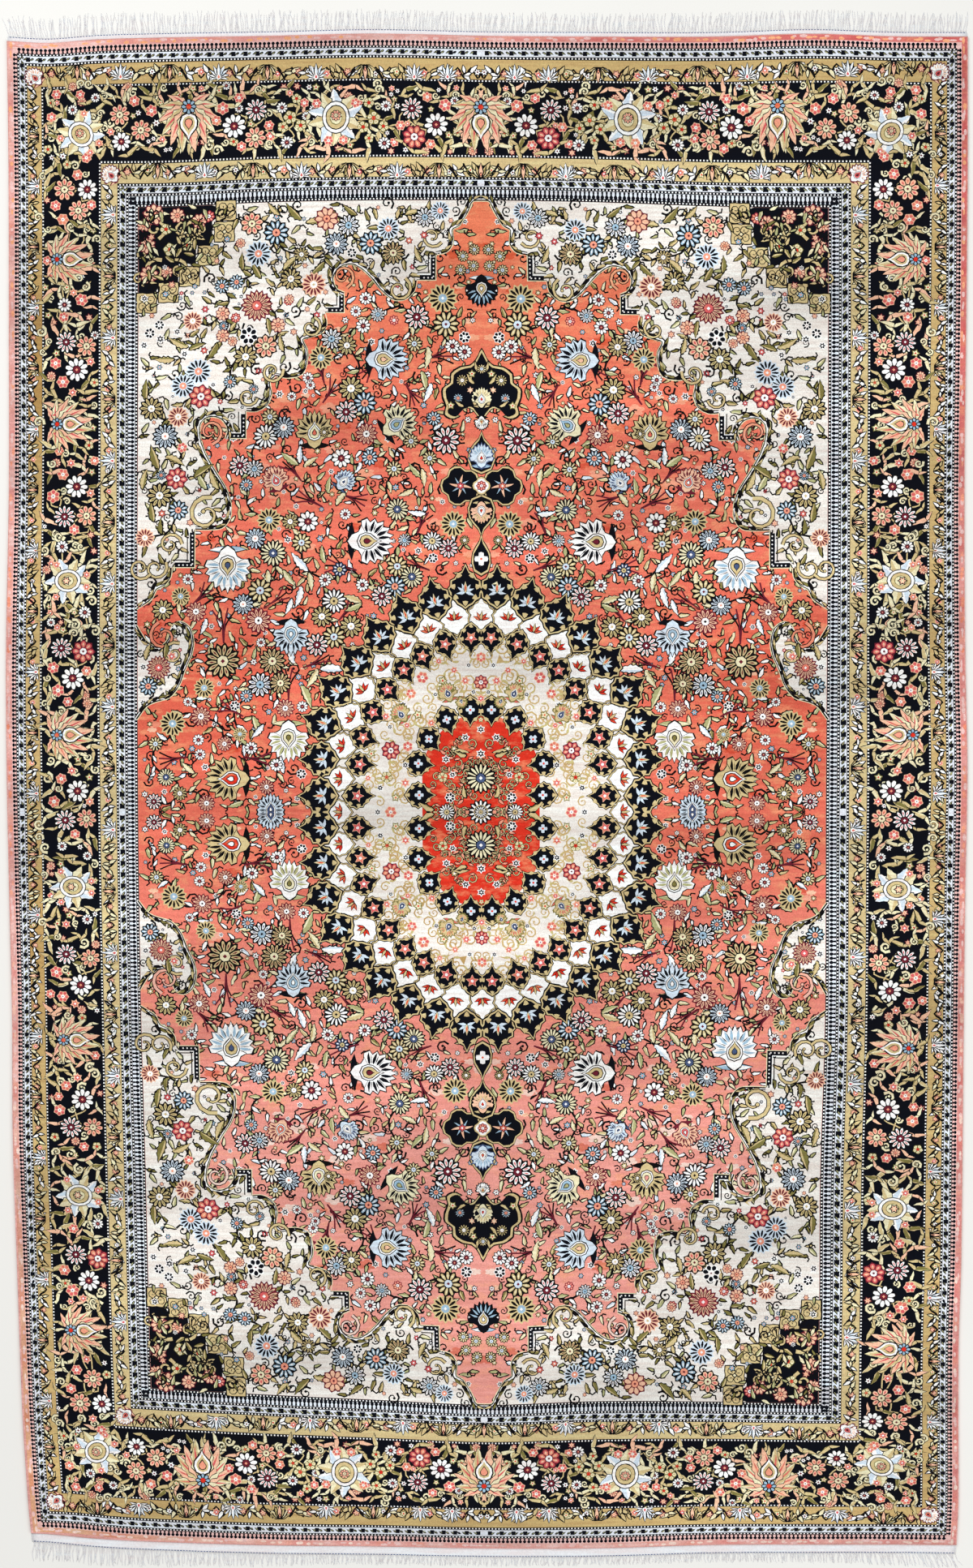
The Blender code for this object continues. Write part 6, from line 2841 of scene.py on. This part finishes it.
@dataclass
class Fringe:
    """The loose warp ends at one end of the rug."""

    body: RugBody
    top: bool
    strands: int = 520
    steps: int = 5
    thickness: float = 0.8 * MM
    seed: int = 2

    def build(self, material: bpy.types.Material) -> bpy.types.Object:
        """Draw every strand out of a small root in the web, level on the floor.

        Args:
            material: its material.

        Returns:
            The piece.
        """
        shape = self.body.shape
        dice = random.Random(self.seed + self.top)
        places, lengths, leans = TOP_FRINGE if self.top else BOTTOM_FRINGE
        width = shape.top_weave if self.top else shape.bottom_weave
        sign = 1 if self.top else -1
        line = shape.top if self.top else shape.bottom
        start = self.body.corner(True, self.top).real + 2.5 * MM
        stop = self.body.corner(False, self.top).real - 2.5 * MM
        bm = bmesh.new()
        for k in range(self.strands):
            x = start + (stop - start) * (k + dice.uniform(0.1, 0.9)) / self.strands
            root = complex(x, float(line(x)) + sign * (width - 1.0 * MM)) + shape.shift
            length = float(np.interp(x / MM, places, lengths)) * dice.uniform(0.8, 1.06) * MM
            lean = float(np.interp(x / MM, places, leans)) + dice.gauss(0, 6)
            self.strand(bm, root, length, lean, sign, dice)
        return finished(bm, "fringe_yarn_top" if self.top else "fringe_yarn_bottom", material, True)

    def strand(
        self, bm: bmesh.types.BMesh, root: complex, length: float, lean: float, sign: int, dice: random.Random
    ) -> None:
        """One wavy strand, pulled ring by ring out of a four-sided root.

        Args:
            bm: the mesh that it is added to.
            root: where it grows from.
            length: how long it is.
            lean: how far it leans to a side.
            sign: 1 at the top end, -1 at the bottom.
            dice: the random draws.
        """
        way = turned(-lean * sign) * 1j * sign
        across = way * -1j
        wave = dice.uniform(0.5, 1.3) * MM
        phase = dice.uniform(0, 6.28)
        turns = dice.uniform(1.1, 2.1) * math.pi
        height = dice.uniform(0.35, 1.3) * MM
        ring = bmesh.ops.create_circle(bm, segments=4, radius=self.thickness / 2, cap_ends=True)["verts"]
        face = ring[0].link_faces[0]
        corners = [(0.7, 0.7), (-0.7, 0.7), (-0.7, -0.7), (0.7, -0.7)]
        for step in range(self.steps + 1):
            t = step / self.steps
            if step:
                face = bmesh.ops.extrude_discrete_faces(bm, faces=[face])["faces"][0]
            bend = wave * (math.sin(phase + turns * t) - math.sin(phase)) * min(1.0, 2 * t)
            middle = root + way * length * t + across * bend
            low = height * (1 - t) ** 1.5 + 0.5 * self.thickness
            thick = self.thickness * (0.5 if step < self.steps else 0.2)
            for vert, (side, up) in zip(face.verts, corners):
                spot = middle + across * thick * side
                vert.co = (spot.real, spot.imag, low + thick * up)


def linear(color: Sequence[float]) -> list[float]:
    """Take an sRGB colour to linear light."""
    return [c / 12.92 if c <= 0.04045 else ((c + 0.055) / 1.055) ** 2.4 for c in color]


class NodeBuilder:
    """Short ways to add and join shader nodes."""

    def __init__(self, tree: bpy.types.NodeTree) -> None:
        """Work in one node tree."""
        self.tree = tree

    def add(self, kind: str, **settings: object) -> bpy.types.Node:
        """Add a node of a kind, with its settings.

        Args:
            kind: the node's type.
            settings: the node's properties.

        Returns:
            The node.
        """
        node = self.tree.nodes.new(kind)
        for name, value in settings.items():
            setattr(node, name, value)
        return node

    def join(self, source: bpy.types.NodeSocket, target: bpy.types.NodeSocket) -> None:
        """Link an output to an input."""
        self.tree.links.new(source, target)

    def math(
        self, operation: str, first: object, second: object = 0.0, third: object = 0.0
    ) -> bpy.types.NodeSocket:
        """Add a Math node over sockets or numbers.

        Args:
            operation: what it does.
            first: its first socket or number.
            second: its second.
            third: its third, where the operation has one.

        Returns:
            Its output.
        """
        node = self.add("ShaderNodeMath", operation=operation)
        for socket, value in zip(node.inputs, (first, second, third)):
            if isinstance(value, bpy.types.NodeSocket):
                self.join(value, socket)
            else:
                socket.default_value = value
        return node.outputs[0]

    def limited(self, value: bpy.types.NodeSocket) -> bpy.types.NodeSocket:
        """A value held between 0 and 1."""
        return self.math("MINIMUM", self.math("MAXIMUM", value, 0.0), 1.0)

    def noise(self, place: bpy.types.NodeSocket, detail: float, roughness: float) -> bpy.types.NodeSocket:
        """Add flat noise of unit scale at a place, as its strength.

        Args:
            place: where it is.
            detail: how many finer layers it has.
            roughness: how strong those are.

        Returns:
            The noise.
        """
        node = self.add("ShaderNodeTexNoise", noise_dimensions="2D")
        node.inputs["Scale"].default_value = 1.0
        node.inputs["Detail"].default_value = detail
        node.inputs["Roughness"].default_value = roughness
        self.join(place, node.inputs["Vector"])
        return node.outputs["Fac"]

    def scaled(self, place: bpy.types.NodeSocket, scale: tuple[float, float, float]) -> bpy.types.NodeSocket:
        """Add a Mapping node that scales a place.

        Args:
            place: the place.
            scale: by how much, on each axis.

        Returns:
            The scaled place.
        """
        node = self.add("ShaderNodeMapping")
        node.inputs["Scale"].default_value = scale
        self.join(place, node.inputs["Vector"])
        return node.outputs["Vector"]


def object_place(builder: NodeBuilder) -> bpy.types.NodeSocket:
    """Object coordinates through a Mapping node."""
    return builder.scaled(builder.add("ShaderNodeTexCoord").outputs["Object"], (1, 1, 1))


class YarnTexture:
    """Shared node group: streaks along the weft, partly dye and partly painted sheen, and a small difference
    per knot.
    """

    NAME = "yarn_texture"

    @classmethod
    def group(cls) -> bpy.types.NodeTree:
        """Make the group once, or find it again.

        Returns:
            The group.
        """
        found = bpy.data.node_groups.get(cls.NAME)
        if found:
            return found
        tree = bpy.data.node_groups.new(cls.NAME, "ShaderNodeTree")
        for name in ("Vector", "Knot Size", "Streak Size"):
            kind = "NodeSocketVector" if name == "Vector" else "NodeSocketFloat"
            tree.interface.new_socket(name=name, in_out="INPUT", socket_type=kind)
        for name in ("Streaks", "Knots", "Height", "Patches"):
            tree.interface.new_socket(name=name, in_out="OUTPUT", socket_type="NodeSocketFloat")
        builder = NodeBuilder(tree)
        given = builder.add("NodeGroupInput")
        out = builder.add("NodeGroupOutput")
        size, stretch = (builder.add("ShaderNodeVectorMath", operation="DIVIDE") for _ in range(2))
        for node, name in ((size, "Knot Size"), (stretch, "Streak Size")):
            builder.join(given.outputs["Vector"], node.inputs[0])
            builder.join(given.outputs[name], node.inputs[1])
        cells = builder.add("ShaderNodeVectorMath", operation="FLOOR")
        builder.join(size.outputs[0], cells.inputs[0])
        knots = builder.add("ShaderNodeTexWhiteNoise", noise_dimensions="2D")
        builder.join(cells.outputs[0], knots.inputs["Vector"])
        builder.join(knots.outputs["Value"], out.inputs["Knots"])
        within = builder.add("ShaderNodeVectorMath", operation="FRACTION")
        builder.join(size.outputs[0], within.inputs[0])
        split = builder.add("ShaderNodeSeparateXYZ")
        builder.join(within.outputs[0], split.inputs[0])
        slopes = [builder.math("PINGPONG", split.outputs[axis], 0.5) for axis in ("X", "Y")]
        rise = builder.math("MULTIPLY", builder.math("MULTIPLY", *slopes), 3.0)
        height = builder.math("ADD", rise, builder.math("MULTIPLY", knots.outputs["Value"], 0.35))
        builder.join(height, out.inputs["Height"])
        # Fine streaks along the weft: their tint is dye, and their lighter and darker bands are painted sheen
        sheen_and_dye_streaks = builder.noise(builder.scaled(stretch.outputs[0], (0.07, 1.0, 1.0)), 3.0, 0.65)
        builder.join(sheen_and_dye_streaks, out.inputs["Streaks"])
        patches = builder.noise(builder.scaled(stretch.outputs[0], (0.13, 0.3, 1.0)), 4.0, 0.7)
        patches = builder.limited(builder.math("MULTIPLY_ADD", patches, 5.0, -2.45))
        builder.join(patches, out.inputs["Patches"])
        return tree

    @classmethod
    def place(cls, builder: NodeBuilder, knot: float, streak: float) -> bpy.types.Node:
        """Put the group into a material with its own sizes.

        Args:
            builder: the material's nodes.
            knot: the size of a knot, in metres.
            streak: the size of a streak, in metres.

        Returns:
            The group's node.
        """
        node = builder.add("ShaderNodeGroup")
        node.node_tree = cls.group()
        builder.join(object_place(builder), node.inputs["Vector"])
        node.inputs["Knot Size"].default_value = knot
        node.inputs["Streak Size"].default_value = streak
        return node


@dataclass(frozen=True)
class SilkFinish:
    """A silk finish: plain colour or the yarn's own, streaks of dye and painted sheen, knots and sheen."""

    name: str
    color: tuple[float, float, float] | None
    knot: float
    streak: float
    sheen_and_dye_streak_depth: float
    knot_depth: float
    bump: float
    roughness: float
    sheen: float

    @staticmethod
    def worn(builder: NodeBuilder, patches: bpy.types.NodeSocket) -> bpy.types.NodeSocket:
        """The yarns' own colours, the red ones paler and yellower in patches.

        Args:
            builder: the material's node builder.
            patches: how paled each place is.

        Returns:
            The colour socket.
        """
        yarn = builder.add("ShaderNodeAttribute", attribute_name="yarn_color").outputs["Color"]
        parts = builder.add("ShaderNodeSeparateColor")
        builder.join(yarn, parts.inputs[0])
        redness = builder.math("SUBTRACT", parts.outputs[0], parts.outputs[1])
        mask = builder.limited(builder.math("MULTIPLY_ADD", redness, 3.0, -0.7))
        paled = builder.add("ShaderNodeMix", data_type="RGBA", blend_type="MIX")
        share = builder.math("MULTIPLY", mask, builder.math("MULTIPLY", patches, 0.55))
        builder.join(share, paled.inputs[0])
        builder.join(yarn, paled.inputs[6])
        paled.inputs[7].default_value = (0.9, 0.4, 0.2, 1)
        return paled.outputs[2]

    def material(self) -> bpy.types.Material:
        """Make the material.

        Returns:
            The material.
        """
        material = bpy.data.materials.new(self.name)
        material.use_nodes = True
        builder = NodeBuilder(material.node_tree)
        shader = material.node_tree.nodes["Principled BSDF"]
        shader.inputs["Sheen Weight"].default_value = self.sheen
        shader.inputs["Sheen Roughness"].default_value = 0.4
        shader.inputs["Specular IOR Level"].default_value = 0.08
        texture = YarnTexture.place(builder, self.knot, self.streak)
        if self.color is None:
            source = self.worn(builder, texture.outputs["Patches"])
        else:
            plain = builder.add("ShaderNodeRGB")
            plain.outputs[0].default_value = (*linear(self.color), 1)
            source = plain.outputs[0]
        # Painted sheen: the streaks lighten and darken the colour in bands along the weft
        least = 1 - 0.5 * self.sheen_and_dye_streak_depth
        depth = builder.math("MULTIPLY_ADD", texture.outputs["Streaks"], self.sheen_and_dye_streak_depth, least)
        dye = builder.add("ShaderNodeMix", data_type="RGBA", blend_type="MIX")
        dye.inputs[6].default_value = (1.05, 0.9, 0.86, 1)
        dye.inputs[7].default_value = (0.96, 1.1, 1.14, 1)
        builder.join(texture.outputs["Streaks"], dye.inputs[0])
        tinted = builder.add("ShaderNodeVectorMath", operation="MULTIPLY")
        builder.join(source, tinted.inputs[0])
        builder.join(dye.outputs[2], tinted.inputs[1])
        least = 1 - 0.5 * self.knot_depth
        grain = builder.math("MULTIPLY_ADD", texture.outputs["Knots"], self.knot_depth, least)
        shade = builder.math("MULTIPLY", depth, grain)
        scale = builder.add("ShaderNodeVectorMath", operation="SCALE")
        builder.join(tinted.outputs[0], scale.inputs[0])
        builder.join(shade, scale.inputs["Scale"])
        builder.join(scale.outputs[0], shader.inputs["Base Color"])
        rough = builder.math("MULTIPLY_ADD", texture.outputs["Streaks"], 0.2, self.roughness - 0.1)
        builder.join(rough, shader.inputs["Roughness"])
        bump = builder.add("ShaderNodeBump")
        bump.inputs["Strength"].default_value = self.bump
        bump.inputs["Distance"].default_value = 0.3 * MM
        builder.join(texture.outputs["Height"], bump.inputs["Height"])
        builder.join(bump.outputs["Normal"], shader.inputs["Normal"])
        return material


PILE = SilkFinish("silk_pile", None, 1.1 * MM, 5 * MM, 0.5, 0.26, 0.35, 0.75, 0.04)
EDGE = SilkFinish("edge_pile", Yarn.CORAL_EDGE.value, 1.1 * MM, 7 * MM, 0.8, 0.3, 0.35, 0.75, 0.04)
WEB = SilkFinish("woven_silk", (0.93, 0.93, 0.94), 1.6 * MM, 5 * MM, 0.12, 0.12, 0.6, 0.65, 0.1)
YARN_ENDS = SilkFinish("fringe_silk", (0.92, 0.92, 0.94), 1.0 * MM, 4 * MM, 0.2, 0.1, 0.2, 0.6, 0.1)
STITCH = SilkFinish("stitch_blue", (0.25, 0.33, 0.52), 1.0 * MM, 4 * MM, 0.2, 0.1, 0.2, 0.7, 0.05)


@dataclass
class Studio:
    """Plain pale floor, soft light and a camera straight above."""

    height: float = 6.0
    sensor: float = 36.0
    floor_size: float = 12.0

    def build(self) -> None:
        """Make the floor, the lamps, the sky and the camera."""
        self.floor()
        self.camera()
        self.lamp("key", (-2.0, 2.4, 4.2), 3.2, 122)
        self.lamp("fill", (2.6, -1.6, 4.2), 3.8, 90)
        world = bpy.data.worlds.new("studio_world")
        bpy.context.scene.world = world
        world.use_nodes = True
        background = world.node_tree.nodes["Background"]
        background.inputs["Color"].default_value = (1, 1, 1, 1)
        background.inputs["Strength"].default_value = 0.46
        bpy.context.scene.view_settings.view_transform = "Standard"

    def floor(self) -> None:
        """A plain pale floor just under the rug."""
        bm = bmesh.new()
        bmesh.ops.create_grid(bm, x_segments=2, y_segments=2, size=self.floor_size / 2)
        bmesh.ops.translate(bm, verts=bm.verts, vec=(0, 0, -0.2 * MM))
        material = bpy.data.materials.new("pale_floor")
        material.use_nodes = True
        builder = NodeBuilder(material.node_tree)
        noise = builder.add("ShaderNodeTexNoise")
        noise.inputs["Scale"].default_value = 3.0
        builder.join(object_place(builder), noise.inputs["Vector"])
        ramp = builder.add("ShaderNodeValToRGB")
        ramp.color_ramp.elements[0].color = (0.87, 0.865, 0.83, 1)
        ramp.color_ramp.elements[1].color = (0.92, 0.915, 0.88, 1)
        builder.join(noise.outputs["Fac"], ramp.inputs["Fac"])
        builder.join(ramp.outputs["Color"], material.node_tree.nodes["Principled BSDF"].inputs["Base Color"])
        finished(bm, "studio_floor", material)

    def camera(self) -> None:
        """A long lens straight above, framed as the picture is."""
        data = bpy.data.cameras.new("camera")
        data.sensor_fit = "VERTICAL"
        data.sensor_height = self.sensor
        data.lens = self.sensor * self.height / (PICTURE_SIZE[1] * PLAN_STEP)
        data.clip_end = 50
        camera = bpy.data.objects.new("camera", data)
        x = (PICTURE_SIZE[0] / 2 - MIDDLE_PX.real) * PLAN_STEP
        y = (MIDDLE_PX.imag - PICTURE_SIZE[1] / 2) * PLAN_STEP
        camera.location = (x, y, self.height)
        bpy.context.scene.collection.objects.link(camera)
        bpy.context.scene.camera = camera

    def lamp(self, name: str, place: tuple[float, float, float], size: float, power: float) -> None:
        """A large soft lamp that points at the rug.

        Args:
            name: its name.
            place: where it hangs.
            size: how wide it is.
            power: its power.
        """
        data = bpy.data.lights.new(name, "AREA")
        data.size = size
        data.energy = power
        lamp = bpy.data.objects.new(name, data)
        lamp.location = place
        lamp.rotation_euler = (-Vector(place)).to_track_quat("-Z", "Y").to_euler()
        bpy.context.scene.collection.objects.link(lamp)


def main() -> None:
    """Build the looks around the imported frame."""
    logging.basicConfig(level=logging.INFO, format="%(name)s: %(message)s")
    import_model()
    shape = RugShape()
    low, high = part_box("rug_cloth")
    shape.fit_to(Vector(low), Vector(high))

    body = RugBody(shape)
    ground = body.build(EDGE.material())
    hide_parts("rug_cloth")
    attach(ground, "root")
    web, yarn_ends, stitch = WEB.material(), YARN_ENDS.material(), STITCH.material()
    for top in (True, False):
        node = "fringe_top" if top else "fringe_bottom"
        woven = body.woven_end(top, web)
        stitches = body.stitches(top, stitch)
        strands = Fringe(body, top).build(yarn_ends)
        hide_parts(node)
        for piece in (woven, stitches, strands):
            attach(piece, "root")
            LOG.info("%s: %d faces", piece.name, len(piece.data.polygons))

    pattern = build_pattern(shape)
    panels = PilePanels(shape).build(pattern, PILE.material())
    for panel in panels:
        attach(panel, "root")
        LOG.info("%s: %d faces", panel.name, len(panel.data.polygons))
    Studio().build()


if __name__ == "__main__":
    main()
